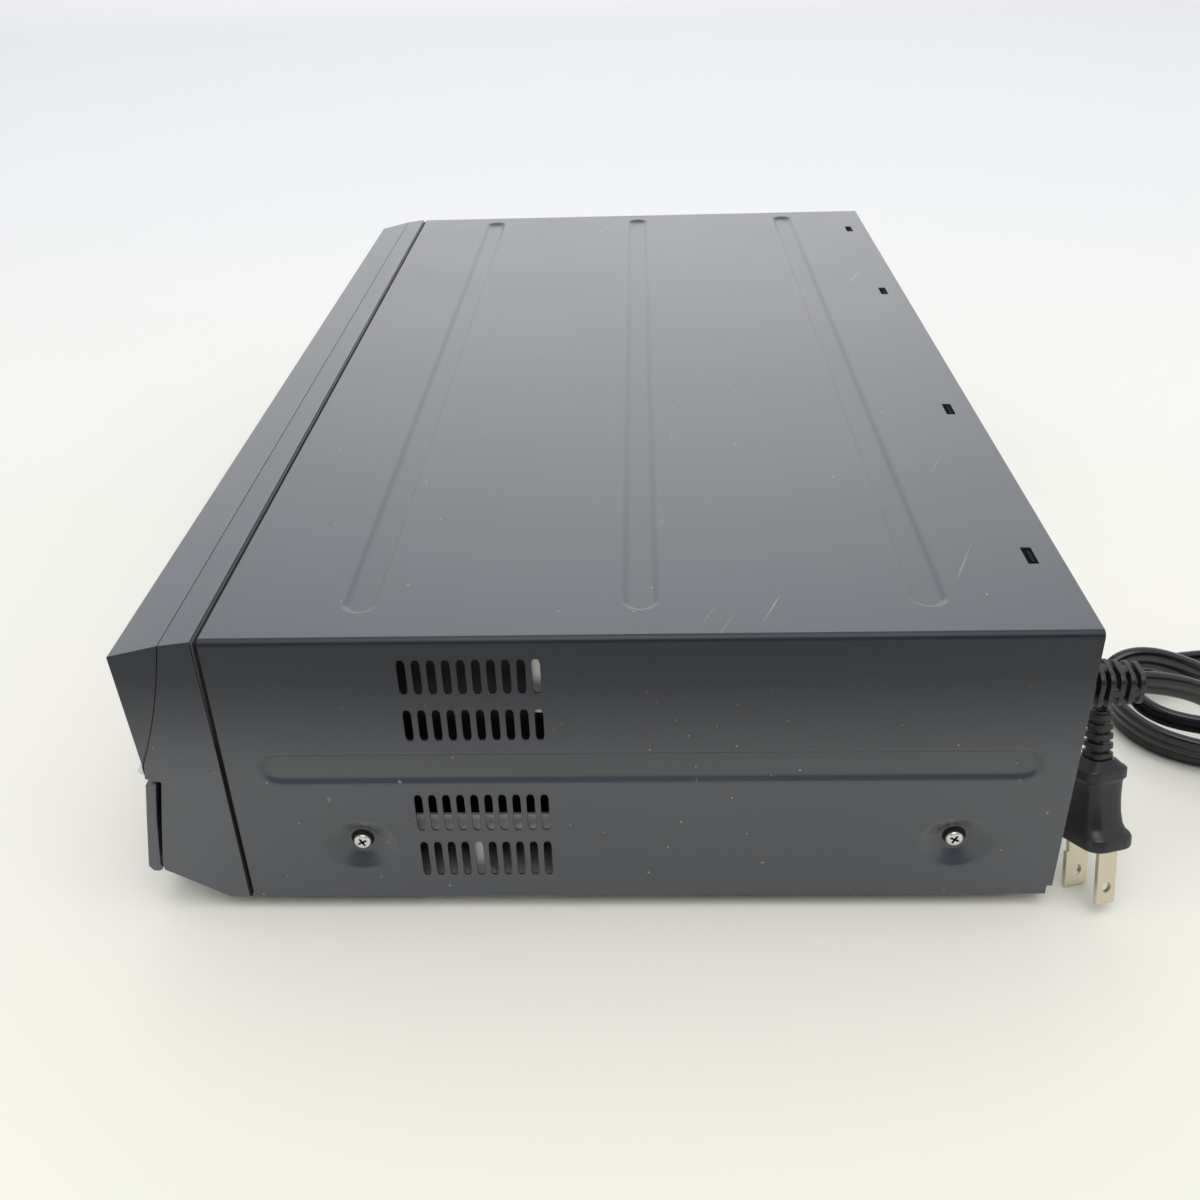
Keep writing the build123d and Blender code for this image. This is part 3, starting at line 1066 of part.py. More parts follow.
def clamp_bridge():
    low = LOADER_TOP
    left, right = LOADER_X - LOADER_WIDTH / 2, LOADER_X + LOADER_WIDTH / 2
    bridge = block(left, right, DISC_Y - 17, DISC_Y + 17, low, low + 1.4)
    bridge += block(left, right, DISC_Y - 17, DISC_Y - 15.6, low, low + 4)
    bridge += block(left, right, DISC_Y + 15.6, DISC_Y + 17, low, low + 4)
    bridge -= post(LOADER_X, DISC_Y, low - 1, low + 2, 8.6, hole=True)
    for x in (left + 26, right - 26):
        bridge -= block(x - 10, x + 10, DISC_Y - 8, DISC_Y + 8, low - 1, low + 2)
    return bridge


def clamp_disc():
    low = TRAY_FLOOR + TRAY_RIM + 1.8
    disc = post(LOADER_X, DISC_Y, low, low + 3.4, CLAMP_RADIUS)
    disc += post(LOADER_X, DISC_Y, low + 3, LOADER_TOP + 1.6, 7.6)
    disc += post(LOADER_X, DISC_Y, LOADER_TOP + 1.6, LOADER_TOP + 3.4, 12.0)
    disc -= post(LOADER_X, DISC_Y, low - 1, low + 3.0, 8.2)
    return disc


# ---------------------------------------------------------------- tape drive
def guide_path(side):
    """Start of a threading guide and the unit direction of its track, seen from above."""
    lean = math.radians(GUIDE_SPLAY)
    start = (DECK_X + side * GUIDE_START[0], GUIDE_START[1])
    return start, (side * math.sin(lean), math.cos(lean))


def deck_plate():
    half = DECK_WIDTH / 2
    back = DECK_FRONT + DECK_DEPTH
    deck = block(DECK_X - half, DECK_X + half, DECK_FRONT, back, DECK_LEVEL, DECK_TOP)
    for x0, x1 in ((DECK_X - half, DECK_X - half + 1.2), (DECK_X + half - 1.2, DECK_X + half)):
        deck += block(x0, x1, DECK_FRONT + 20, back - 24, DECK_LEVEL - 5, DECK_LEVEL)
    for x in (-REEL_SPACING / 2, REEL_SPACING / 2):
        deck += post(DECK_X + x, REEL_Y, DECK_LEVEL - 3, DECK_TOP + 0.6, 4.5)
        deck -= post(DECK_X + x, REEL_Y, DECK_LEVEL - 4, DECK_TOP + 1, 2.0 + RUN, hole=True)
    x, y = DECK_X + CAPSTAN_AT[0], CAPSTAN_AT[1]
    deck += post(x, y, DECK_LEVEL - 1.5, DECK_TOP + 4, 5.0)
    deck -= post(x, y, DECK_LEVEL - 2, DECK_TOP + 5, CAPSTAN_RADIUS + RUN, hole=True)
    deck += post(DECK_X + PINCH_PIVOT[0], PINCH_PIVOT[1], DECK_TOP - 0.2, DECK_TOP + 22, 2.0)
    for side in (-1, 1):
        (x, y), (dx, dy) = guide_path(side)
        middle = Pos(x + dx * GUIDE_TRAVEL / 2, y + dy * GUIDE_TRAVEL / 2)
        slot = middle * Rot(0, 0, math.degrees(math.atan2(dy, dx))) * oblong(GUIDE_TRAVEL + 5.6, 5.0, 6)
        deck -= Pos(0, 0, DECK_LEVEL - 1) * extrude(slot, amount=DECK_SHEET + 2)
    for x, y, wide, deep in ((0, 40, 30, 22), (-78, 120, 20, 34), (0, 186, 60, 6)):
        cut = Pos(DECK_X + x, y, DECK_LEVEL) * Box(wide, deep, 6)
        deck -= chamfer(cut.edges().filter_by(Axis.Z), 2.0)
    return deck


DRUM_PLACE = Pos(DECK_X, DRUM_Y, DECK_TOP + 5.0) * Rot(-DRUM_TILT, 0, 0)


def drum_lower():
    drum = post(0, 0, 0, 17, DRUM_RADIUS) + post(0, 0, 16, 18, DRUM_RADIUS - 0.6)
    foot = block(DECK_X - 24, DECK_X + 24, DRUM_Y - 18, DRUM_Y + 18, DECK_TOP, DECK_TOP + 9)
    return DRUM_PLACE * drum + foot - DRUM_PLACE * post(0, 0, 6, 26, DRUM_SHAFT + RUN, hole=True)


def drum_upper():
    drum = post(0, 0, 18.6, 34.8, DRUM_RADIUS)
    drum += Pos(0, 0, 34.8) * taper(DRUM_RADIUS, DRUM_RADIUS - 0.8, 0.8, flats(DRUM_RADIUS))
    drum -= post(0, 0, 33.6, 36.6, 26.0) - post(0, 0, 33.6, 36.6, 11.0)
    drum += post(0, 0, 8, 20, DRUM_SHAFT)
    for angle in (0, 180):
        drum -= Rot(0, 0, angle) * Pos(DRUM_RADIUS - 1.5, 0, 19.5) * Box(4, 5, 3)
    for angle in range(60, 420, 120):
        drum -= Rot(0, 0, angle) * post(7, 0, 34.4, 36.4, 1.6)
    return DRUM_PLACE * drum


def capstan():
    x, y = DECK_X + CAPSTAN_AT[0], CAPSTAN_AT[1]
    top = DECK_LEVEL - 3.0
    wheel = post(x, y, top - FLYWHEEL_HEIGHT, top, FLYWHEEL_RADIUS)
    wheel -= post(x, y, top - 3, top + 1, 24.0) - post(x, y, top - 4, top + 2, 8.0)
    return wheel + post(x, y, top - FLYWHEEL_HEIGHT, DECK_TOP + 32, CAPSTAN_RADIUS)


def pinch_end():
    angle = math.radians(PINCH_REST)
    x, y = DECK_X + PINCH_PIVOT[0], PINCH_PIVOT[1]
    return x + PINCH_ARM * math.cos(angle), y + PINCH_ARM * math.sin(angle)


def pinch_arm():
    x, y = DECK_X + PINCH_PIVOT[0], PINCH_PIVOT[1]
    ex, ey = pinch_end()
    low = DECK_TOP + 1.0
    arm = post(x, y, DECK_TOP + SEAT, DECK_TOP + 20, 3.4) + post(ex, ey, low + 1, low + 4, 4.0)
    link = Pos((x + ex) / 2, (y + ey) / 2, low + 2.5) * Rot(0, 0, PINCH_REST) * Box(PINCH_ARM, 6, 3)
    arm += link + post(ex, ey, low + 2, low + 27, 1.5)
    arm -= post(x, y, DECK_TOP - 1, DECK_TOP + 21, 2.0 + RUN, hole=True)
    return arm


def pinch_roller():
    ex, ey = pinch_end()
    low = DECK_TOP + 5.2
    roller = post(ex, ey, low, low + 19, PINCH_ROLLER) - post(ex, ey, low - 1, low + 20, 1.5 + RUN, hole=True)
    return roller - (post(ex, ey, low + 17.5, low + 20, 5.2) - post(ex, ey, low + 17, low + 21, 2.8))


def reel(side):
    x = DECK_X + side * REEL_SPACING / 2
    low = DECK_TOP + 0.7
    table = post(x, REEL_Y, low, low + 3.2, REEL_RADIUS)
    table -= post(x, REEL_Y, low + 2.2, low + 4, 14.5) - post(x, REEL_Y, low, low + 5, 9.0)
    table += post(x, REEL_Y, low, low + 15, REEL_SPINDLE - 1.4)
    table += Pos(x, REEL_Y, low + 15) * taper(REEL_SPINDLE - 1.4, 1.2, 2.6, flats(REEL_SPINDLE - 1.4))
    fin = Pos(REEL_SPINDLE / 2 + 0.6, 0) * Box(REEL_SPINDLE + 1, 1.4, 11)
    for angle in (30, 150, 270):
        table += Pos(x, REEL_Y, low + 8) * Rot(0, 0, angle) * fin
    return table + post(x, REEL_Y, DECK_LEVEL - 3, low + 1, 2.0)


def threading_guide(side):
    (x, y), (dx, dy) = guide_path(side)
    low = DECK_TOP + SEAT
    base = post(x, y, low, low + 3, 5.2)
    base += post(x, y, DECK_LEVEL - 1.2, low + 1, 2.3)
    base += post(x, y, DECK_LEVEL - 2.4, DECK_LEVEL - SEAT, 4.4)
    base += post(x, y, low + 2, low + 25, 1.4) + post(x, y, low + 4, low + 21, 3.0)
    base += post(x, y, low + 21, low + 22.5, 4.0) + post(x, y, low + 3.0, low + 4.2, 4.0)
    return base


def tape_heads():
    made = []
    for x, y, wide, turn in ((-56.0, 126.0, 9.0, 35), (60.0, 143.0, 11.0, -40)):
        spot = Pos(DECK_X + x, y, 0) * Rot(0, 0, turn)
        head = spot * block(-wide / 2 - 3, wide / 2 + 3, -6, 6, DECK_TOP, DECK_TOP + 2)
        head += spot * block(-2.5, 2.5, 0, 5, DECK_TOP + 1, DECK_TOP + 10)
        head += spot * block(-wide / 2, wide / 2, -5, 5, DECK_TOP + 9, DECK_TOP + 26)
        made.append(head)
    return made


CARRIAGE_BACK = CARRIAGE_FRONT + CASSETTE[1] + 2.0


def cassette_carriage():
    outer, inner = CARRIAGE_HALF, CARRIAGE_HALF - CARRIAGE_SHEET
    low, top = CARRIAGE_FLOOR - CARRIAGE_SHEET, CARRIAGE_TOP
    carriage = block(DECK_X - outer, DECK_X + outer, CARRIAGE_FRONT, CARRIAGE_BACK, low, top)
    front, back = CARRIAGE_FRONT - 1, CARRIAGE_BACK + 1
    carriage -= block(DECK_X - inner, DECK_X + inner, front, back, CARRIAGE_FLOOR, top - CARRIAGE_SHEET)
    gap = inner - LEDGE_WIDTH
    carriage -= block(DECK_X - gap, DECK_X + gap, front, back, low - 1, CARRIAGE_FLOOR + 1)
    for x0, x1 in ((-72, -34), (-19, 19), (34, 72)):
        hole = block(DECK_X + x0, DECK_X + x1, CARRIAGE_FRONT + 16, CARRIAGE_BACK - 16, top - 3, top + 1)
        carriage -= chamfer(hole.edges().filter_by(Axis.Z), 2.5)
    for side in (-1, 1):
        x0, x1 = sorted((DECK_X + side * inner, DECK_X + side * (inner - 22)))
        carriage += block(x0, x1, CARRIAGE_BACK - 1.2, CARRIAGE_BACK, CARRIAGE_FLOOR - 0.2, top - 0.2)
        for y in RAIL_PINS_Y:
            x0, x1 = sorted((DECK_X + side * (outer - 0.5), DECK_X + side * (RAIL_HALF + RAIL_SHEET + 0.6)))
            carriage += bar_x(y, pin_height(), x0, x1, RAIL_PIN)
    return carriage


def pin_height():
    return CARRIAGE_FLOOR + 16.0


def carriage_rails():
    near, far = RAIL_HALF, RAIL_HALF + RAIL_SHEET
    front, back = CARRIAGE_FRONT + 6, CARRIAGE_BACK + 4
    rails = block(DECK_X - far, DECK_X + far, back - 9, back, RAIL_TOP - RAIL_SHEET, RAIL_TOP)
    rails += block(DECK_X - far, DECK_X + far, front, front + 8, RAIL_TOP - RAIL_SHEET, RAIL_TOP)
    for side in (-1, 1):
        x0, x1 = sorted((DECK_X + side * near, DECK_X + side * far))
        rails += block(x0, x1, front, back, DECK_TOP, RAIL_TOP)
        windows = block(x0 - 1, x1 + 1, front + 24, back - 38, DECK_TOP + 12, RAIL_TOP - 10)
        rails -= windows
        for y in RAIL_PINS_Y:
            low = pin_height() - CARRIAGE_DROP - RAIL_PIN - FREE
            high = pin_height() + RAIL_PIN + FREE
            half = RAIL_PIN + RUN
            rails -= block(x0 - 1, x1 + 1, y - half, y + half, low, high)
    return rails


# ---------------------------------------------------------------- cord
PLUG_ORIGIN = (RELIEF_X + 6.5, COVER_DEPTH + 12.2, -2.6)
PLUG_ACROSS = (0.887, 0.354, 0.283)
PLUG_UP = (-0.299, -0.015, 0.954)


def plug_plane():
    up = Vector(*PLUG_UP).normalized()
    across = Vector(*PLUG_ACROSS)
    across = (across - up * across.dot(up)).normalized()
    return Plane(origin=PLUG_ORIGIN, x_dir=across, z_dir=up)


def upright(shape):
    """From the plug's own frame, blades' tips at z = 0, to its place behind the player."""
    return plug_plane().location * shape


def plug_blades():
    thick, half, wide = BLADE_SHEET / 2, BLADE_WIDTH / 2, WIDE_BLADE / 2
    blade = block(-thick, thick, -half, half, 0, BLADE_LENGTH + 4)
    near = Pos(BLADE_SPACING / 2, 0, 0) * chamfer(blade.edges().group_by(Axis.Z)[0], 0.5)
    tip = block(-thick, thick, -wide, wide, 0, 12.0)
    stem = block(-thick, thick, -half, half, 11.0, BLADE_LENGTH + 4)
    far = chamfer(tip.edges().group_by(Axis.Z)[0], 0.5) + stem
    far = Pos(-BLADE_SPACING / 2, 0, 0) * far
    blades = []
    for blade in (near, far):
        spot = Pos(blade.center().X, 0, 5.4) * Rot(0, 90, 0)
        blades.append(upright(blade - spot * post(0, 0, -3, 3, 1.6, hole=True)))
    return blades


def plug_body():
    z = BLADE_LENGTH
    stations = (
        (0.0, 20.4, 15.4),
        (3.4, 20.4, 15.4),
        (4.6, 15.6, 12.8),
        (10.0, 12.6, 11.6),
        (17.0, 11.6, 12.2),
        (20.2, 12.0, 12.8),
    )
    body = None
    for (z0, w0, d0), (z1, w1, d1) in zip(stations, stations[1:]):
        low = (Plane.XY.offset(z + z0) * soft_box(w0, d0, 2.0)).face()
        high = (Plane.XY.offset(z + z1) * soft_box(w1, d1, 2.0)).face()
        piece = loft([low, high], ruled=True)
        body = piece if body is None else body + piece
    body += Pos(0, 0, z + 20.2) * extrude(soft_box(12.8, 14.5, 2.0), amount=3.0)
    low = (Plane.XY.offset(z + 23.2) * soft_box(11.6, 12.0, 2.0)).face()
    high = (Plane.XY.offset(z + PLUG_BODY) * soft_box(9.6, 9.0, 2.0)).face()
    body += loft([low, high], ruled=True)
    body += Pos(0, 0, z + PLUG_BODY) * extrude(soft_box(6.8, 6.0, 1.6), amount=PLUG_RELIEF)
    for k in range(4):
        wide = 9.6 - 0.6 * k
        rib = extrude(soft_box(wide, wide - 1.0, 1.8), amount=2.0)
        body += Pos(0, 0, z + PLUG_BODY + 1.6 + 3.6 * k) * rib
    pocket = block(-BLADE_SHEET / 2, BLADE_SHEET / 2, -BLADE_WIDTH / 2, BLADE_WIDTH / 2, 0, z + 4)
    for side in (-1, 1):
        body -= Pos(side * BLADE_SPACING / 2, 0, 0) * pocket
    return upright(body)


def strain_relief():
    """A moulded grommet: a flange each side of the panel, and a neck of ribs outside."""
    inner, outer = PANEL_Y - 3.2, PANEL_Y + PAN_SHEET

    def layer(y0, y1, wide, high):
        face = Plane.XZ.offset(-y0) * Pos(RELIEF_X, RELIEF_Z) * soft_box(wide, high, min(wide, high) * 0.22)
        return extrude(face, amount=-(y1 - y0))

    relief = layer(inner, PANEL_Y - SEAT, 13.4, 11.4)
    relief += layer(PANEL_Y - SEAT, outer + SEAT, 10.2, 8.0)
    relief += layer(outer + SEAT, outer + 2.2, 13.0, 11.6)
    end = COVER_DEPTH + RELIEF_LENGTH
    relief += layer(outer + 2.2, end, 7.6, 6.8)
    for k in range(5):
        y = outer + 3.4 + 2.75 * k
        wide = 12.0 - 0.5 * k
        relief += layer(y, y + 1.6, wide, wide - 1.2)
        if k < 4:
            web = (4.0, wide - 1.6) if k % 2 else (wide - 0.4, 3.4)
            relief += layer(y + 1.0, y + 2.9, *web)
    return relief


HANK_MIDDLE = (RELIEF_X - 82.0, COVER_DEPTH + 118.2)
HANK_REACH = 41.0
HANK_WIDE = 36.0
HANK_TIGHTEN = 7.0  # per turn, on the table
HANK_LOOSEN = 7.0  # per turn, in the second layer
HANK_CLIMB = 11  # first corner of the second layer
HANK_CORNERS = 26
HANK_TURN = (90, 150, 180, 210, 270, 330, 0, 30)
LIE = -FOOT_HEIGHT + CORD_RADIUS
PILED = LIE + 2 * CORD_RADIUS + 1.4


def hank_corner(index):
    """One corner of the oblong loops: they tighten on the table, then widen again on top."""
    angle = HANK_TURN[index % len(HANK_TURN)]
    if index < HANK_CLIMB:
        wide = HANK_WIDE - HANK_TIGHTEN * index / 8
    else:
        inner = HANK_WIDE - HANK_TIGHTEN * (HANK_CLIMB - 1) / 8
        wide = inner + HANK_LOOSEN * (index - HANK_CLIMB) / 8
    z = LIE if index < HANK_CLIMB else PILED
    x, y = HANK_MIDDLE
    if angle == 0:
        return (x + wide + 2.0, y, z)
    if angle == 180:
        return (x - wide - 2.0, y, z)
    reach = HANK_REACH if angle < 180 else -HANK_REACH
    turn = math.radians(angle)
    return (x + wide * math.cos(turn), y + reach + wide * math.sin(turn), z)


def cord_points():
    start = (RELIEF_X, COVER_DEPTH + RELIEF_LENGTH, RELIEF_Z)
    lead = [
        start,
        (RELIEF_X, start[1] + 14.0, RELIEF_Z),
        (RELIEF_X - 0.5, start[1] + 32.0, RELIEF_Z - 7.5),
        (RELIEF_X - 2.0, start[1] + 54.0, RELIEF_Z - 25.5),
        (RELIEF_X - 4.0, start[1] + 74.0, RELIEF_Z - 49.5),
        (RELIEF_X - 8.0, start[1] + 94.0, LIE + 3.0),
        (RELIEF_X - 14.0, start[1] + 118.0, LIE),
        (RELIEF_X - 24.0, start[1] + 145.7, LIE),
        (RELIEF_X - 51.0, start[1] + 168.7, LIE),
    ]
    hank = [hank_corner(index) for index in range(HANK_CORNERS)]
    up = plug_plane().z_dir
    top = plug_plane().origin + up * (BLADE_LENGTH + PLUG_BODY + PLUG_RELIEF)
    over = top + up * 13.5
    bend = over + Vector(-0.21, 0.70, 0.68).normalized() * 14.0
    tail = [
        (RELIEF_X - 125.0, start[1] + 115.7, PILED + 5.8),
        (RELIEF_X - 108.0, start[1] + 89.7, PILED + 9.0),
        (RELIEF_X - 76.0, start[1] + 74.7, PILED + 13.0),
        (RELIEF_X - 44.0, start[1] + 64.7, PILED + 30.0),
        (RELIEF_X - 18.0, start[1] + 47.7, 57.0),
        (RELIEF_X - 16.0, start[1] + 22.7, 74.0),
        tuple(bend),
        tuple(over),
        tuple(top),
    ]
    return lead, hank, tail


def cord_pieces():
    """The whole cord's centre line, cut in the middle of two straight runs."""
    lead, hank, tail = cord_points()
    points = [Vector(*p) for p in lead + hank + tail]
    cuts = {len(lead) - 1, len(lead) + len(hank) - 1}
    runs = [(b - a).length for a, b in zip(points, points[1:])]
    groups, edges, radii = [], [], []
    at = points[0]
    for i in range(1, len(points)):
        ahead = (points[i] - points[i - 1]).normalized()
        if i - 1 in cuts:
            middle = (points[i - 1] + points[i]) * 0.5
            edges.append(Line(tuple(at), tuple(middle)))
            groups.append(edges)
            edges = []
            at = middle
        if i == len(points) - 1:
            edges.append(Line(tuple(at), tuple(points[i])))
            break
        onward = (points[i + 1] - points[i]).normalized()
        turn = math.acos(max(-1.0, min(1.0, ahead.dot(onward))))
        tangent = 0.45 * min(runs[i - 1], runs[i])
        radius = tangent / math.tan(turn / 2)
        radii.append(radius)
        start, stop = points[i] - ahead * tangent, points[i] + onward * tangent
        inward = (onward - ahead).normalized()
        middle = points[i] + inward * (radius / math.cos(turn / 2) - radius)
        edges.append(Line(tuple(at), tuple(start)))
        edges.append(ThreePointArc(tuple(start), tuple(middle), tuple(stop)))
        at = stop
    groups.append(edges)
    print("cord radii", [round(r, 1) for r in radii])
    return [Wire(group) for group in groups]


def tube(path):
    """A cord of six flats along a path, one flat down."""
    start, along = path @ 0, path % 0
    side = along.cross(Vector(0, 0, 1))
    plane = Plane(origin=start, x_dir=side, z_dir=along)
    section = plane * RegularPolygon(CORD_RADIUS, 6, major_radius=False, rotation=0)
    swept = sweep(section.face(), path=path)
    area = section.face().area
    print("tube", round(swept.volume), "section x length", round(area * path.length))
    return swept


def self_gap(path):
    """Least gap between parts of the path that aren't neighbours."""
    count = int(path.length / 2.0)
    spots = [path @ (k / count) for k in range(count + 1)]
    least = 1e9
    for i in range(0, count + 1):
        for j in range(i + 12, count + 1):
            gap = (spots[i] - spots[j]).length
            least = min(least, gap)
    return least - 2 * CORD_RADIUS / math.cos(math.pi / 6)


# ---------------------------------------------------------------- assembly
def main():
    os.makedirs("parts", exist_ok=True)
    lead, hank, tail = cord_pieces()
    print("hank's least self-gap", round(self_gap(hank), 2))
    for name, path in (("lead", lead), ("tail", tail)):
        print(name, "length", round(path.length))
    round_pair = round_buttons()
    key_row = keys()
    pieces = {
        "cover": cover(),
        "chassis": chassis(),
        "rear_panel": rear_panel(),
        "fascia": fascia(),
        "brow_panel": brow_panel(),
        "trim_strip": trim_strip(),
        "display_window": display_window(),
        "front_flap": front_flap(),
        "cassette_door": cassette_door(),
        "feet": feet(),
        "screws": screws(),
        "power_button": round_pair[0],
        "tray_button": round_pair[1],
        "front_board": front_board(),
        "display_tube": display_tube(),
        "front_jacks": front_jacks(),
        "main_board": main_board(),
        "power_board": power_board(),
        "transformer": transformer(),
        "capacitors": capacitors(),
        "heatsinks": heatsinks(),
        "rear_jacks": rear_jacks() + rear_sockets(),
        "loader_frame": loader_frame(),
        "disc_tray": disc_tray(),
        "tray_bezel": tray_bezel(),
        "tray_gear": tray_gear(),
        "motor_pinion": motor_pinion(),
        "loading_motor": loading_motor(),
        "traverse": traverse(),
        "turntable": turntable(),
        "optical_sled": optical_sled(),
        "objective_lens": objective_lens(),
        "sled_rods": sled_rods(),
        "lead_screw": lead_screw(),
        "clamp_bridge": clamp_bridge(),
        "clamp_disc": clamp_disc(),
        "deck_plate": deck_plate(),
        "drum_lower": drum_lower(),
        "drum_upper": drum_upper(),
        "capstan": capstan(),
        "pinch_arm": pinch_arm(),
        "pinch_roller": pinch_roller(),
        "supply_reel": reel(-1),
        "takeup_reel": reel(1),
        "supply_guide": threading_guide(-1),
        "takeup_guide": threading_guide(1),
        "tape_heads": tape_heads(),
        "cassette_carriage": cassette_carriage(),
        "carriage_rails": carriage_rails(),
        "strain_relief": strain_relief(),
        "cord_lead": tube(lead),
        "cord_hank": tube(hank),
        "cord_tail": tube(tail),
        "plug_body": plug_body(),
        "plug_blades": plug_blades(),
    }
    for name, key in zip(KEY_NAMES, key_row):
        pieces[name] = key
    place = Pos(0, COVER_FRONT, FOOT_HEIGHT)
    for name, made in pieces.items():
        shapes = made if isinstance(made, list) else [made]
        solids = [solid for shape in shapes for solid in (place * shape).solids()]
        export_step(Compound(children=solids), f"parts/{name}.step")
        print(name, len(solids), round(sum(solid.volume for solid in solids)))
    print("pieces", len(pieces))


main()
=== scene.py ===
# %% [markdown]
# A player for discs and video cassettes, seen from its right-hand end.
#
# The engineering model already holds the real sizes and every moving piece. This lesson dresses it: light,
# camera, cord, soft edges and finishes. Nothing here moves an engineering piece. First it is loaded.

# %% Load the engineering model
import json
import math

import bmesh
import bpy
from mathutils import Matrix, Vector


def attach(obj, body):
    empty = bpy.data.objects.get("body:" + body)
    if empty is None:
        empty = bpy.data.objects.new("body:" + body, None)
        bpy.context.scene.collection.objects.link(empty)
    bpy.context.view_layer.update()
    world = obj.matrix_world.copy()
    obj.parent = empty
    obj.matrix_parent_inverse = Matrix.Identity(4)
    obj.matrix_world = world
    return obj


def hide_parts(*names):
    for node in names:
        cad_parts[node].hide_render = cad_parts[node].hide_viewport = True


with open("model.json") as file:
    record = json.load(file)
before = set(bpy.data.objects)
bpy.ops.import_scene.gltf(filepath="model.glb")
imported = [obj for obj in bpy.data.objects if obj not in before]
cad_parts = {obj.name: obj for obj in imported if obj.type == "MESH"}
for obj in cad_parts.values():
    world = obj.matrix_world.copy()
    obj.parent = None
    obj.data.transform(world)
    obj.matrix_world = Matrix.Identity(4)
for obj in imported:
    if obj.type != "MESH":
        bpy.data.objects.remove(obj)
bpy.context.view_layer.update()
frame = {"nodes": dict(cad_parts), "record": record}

nodes = frame["nodes"]
bodies = frame["record"]["behaviour"]["bodies"]
owner = {piece: body for body, held in bodies.items() for piece in held}
slots = {entry["node"]: entry["material_slot"] for entry in frame["record"]["subparts"]}

# %% [markdown]
# The camera stands where the photographer stood: off the right-hand end, 27 cm above the table, looking
# down by about 31 degrees. A camera can be aimed by a tracking constraint or by hand. Three directions,
# worked out once from the player's corners, place it exactly and need no helper object.

# %% Camera
scene = bpy.context.scene
camera = bpy.data.objects.new("camera", bpy.data.cameras.new("camera"))
scene.collection.objects.link(camera)
scene.camera = camera
camera.data.lens = 37.444
camera.data.sensor_width = 36.0
camera.data.clip_start = 0.01
camera.data.clip_end = 60.0
stand = Vector((0.487286, 0.010385, 0.273224))
right = Vector((-0.02369399, 0.99933353, -0.02776835)).normalized()
ahead = Vector((-0.85435524, -0.03466497, -0.51853204)).normalized()
up = right.cross(ahead)
place = Matrix((right, up, -ahead)).transposed().to_4x4()
place.translation = stand
camera.matrix_world = place
print("camera looks down by", round(math.degrees(math.asin(-ahead.z)), 1), "degrees")

# %% [markdown]
# The table and the wall behind it are one white sheet that curves up far behind the player, as in a small
# photo studio. One strip, extruded upwards and bevelled along the fold, gives that curve with no seam.

# %% White sheet
def vertices_in(geometry):
    """The vertices among what an operator gives back."""
    return [part for part in geometry if isinstance(part, bmesh.types.BMVert)]


def to_object(name, mesh):
    """Turns a bmesh into an object in the scene, and frees the bmesh."""
    made = bpy.data.objects.new(name, bpy.data.meshes.new(name))
    mesh.to_mesh(made.data)
    mesh.free()
    scene.collection.objects.link(made)
    return made


half_sheet = 3.2
wall_height = 3.0
fold_radius = 1.6
near = 0.01
mesh = bmesh.new()
bmesh.ops.create_grid(mesh, x_segments=1, y_segments=1, size=half_sheet)
far = [e for e in mesh.edges if all(abs(v.co.x + half_sheet) < near for v in e.verts)]
raised = bmesh.ops.extrude_edge_only(mesh, edges=far)["geom"]
bmesh.ops.translate(mesh, vec=(0, 0, wall_height), verts=vertices_in(raised))
fold = [e for e in mesh.edges if all(abs(v.co.x + half_sheet) < near and v.co.z < near for v in e.verts)]
bmesh.ops.bevel(mesh, geom=fold, offset=fold_radius, segments=24, profile=0.5, affect="EDGES", material=-1)
bmesh.ops.recalc_face_normals(mesh, faces=mesh.faces)
for face in mesh.faces:
    face.smooth = True
sheet = to_object("studio_sheet", mesh)
print("sheet faces", len(sheet.data.polygons))

# %% [markdown]
# Each finish is a small tree of shader nodes. Nodes can be wired one by one in the editor; in a script, two
# helpers keep the cells short. One starts a material with its Principled shader, and one adds a node
# together with its inputs, which are either linked or fixed.
#
# The paper is one plain white, but the light on it is a little warm near the camera and cooler far away.
# That tint is painted into the paper's colour, mapped from the distance along the table. Paper is matte: its
# roughness is high and its mirror-like part is weak.

# %% White sheet's finish
def new_material(name):
    """A material with its Principled shader, for the cells below to wire up."""
    material = bpy.data.materials.new(name)
    material.use_nodes = True
    return material, material.node_tree.nodes["Principled BSDF"]


def add(tree, kind, inputs=None, **settings):
    """A node in a tree, with its settings and its linked or fixed inputs."""
    node = tree.nodes.new(kind)
    for key, value in settings.items():
        setattr(node, key, value)
    for key, value in (inputs or {}).items():
        if isinstance(value, bpy.types.NodeSocket):
            tree.links.new(value, node.inputs[key])
        else:
            node.inputs[key].default_value = value
    return node


near_x, far_x = 0.55, -0.7
warm_white = (0.85, 0.828, 0.72, 1)
cool_white = (0.84, 0.84, 0.85, 1)
paper, paper_shader = new_material("studio_paper")
tree = paper.node_tree
spot = add(tree, "ShaderNodeTexCoord").outputs["Object"]
along = add(tree, "ShaderNodeSeparateXYZ", {0: spot}).outputs["X"]
distance = add(tree, "ShaderNodeMapRange", {"Value": along, "From Min": near_x, "From Max": far_x})
# painted light: the paper turns warm near the camera and cool far away, a tint of the light and not of the
# paper
whites = {"Factor": distance.outputs["Result"], "A": warm_white, "B": cool_white}
shade = add(tree, "ShaderNodeMix", whites, data_type="RGBA")
tree.links.new(shade.outputs["Result"], paper_shader.inputs["Base Color"])
paper_shader.inputs["Roughness"].default_value = 0.7
paper_shader.inputs["Specular IOR Level"].default_value = 0.25
sheet.data.materials.append(paper)
print("paper nodes", len(tree.nodes))

# %% [markdown]
# The room behind the photographer is darker than the paper. A matte dark card stands for it: the pressed
# slopes that face the room reflect the card and turn dark, and that is what makes a shallow bead readable.
# It is a plain grid, one metre square, scaled to its size and turned upright.

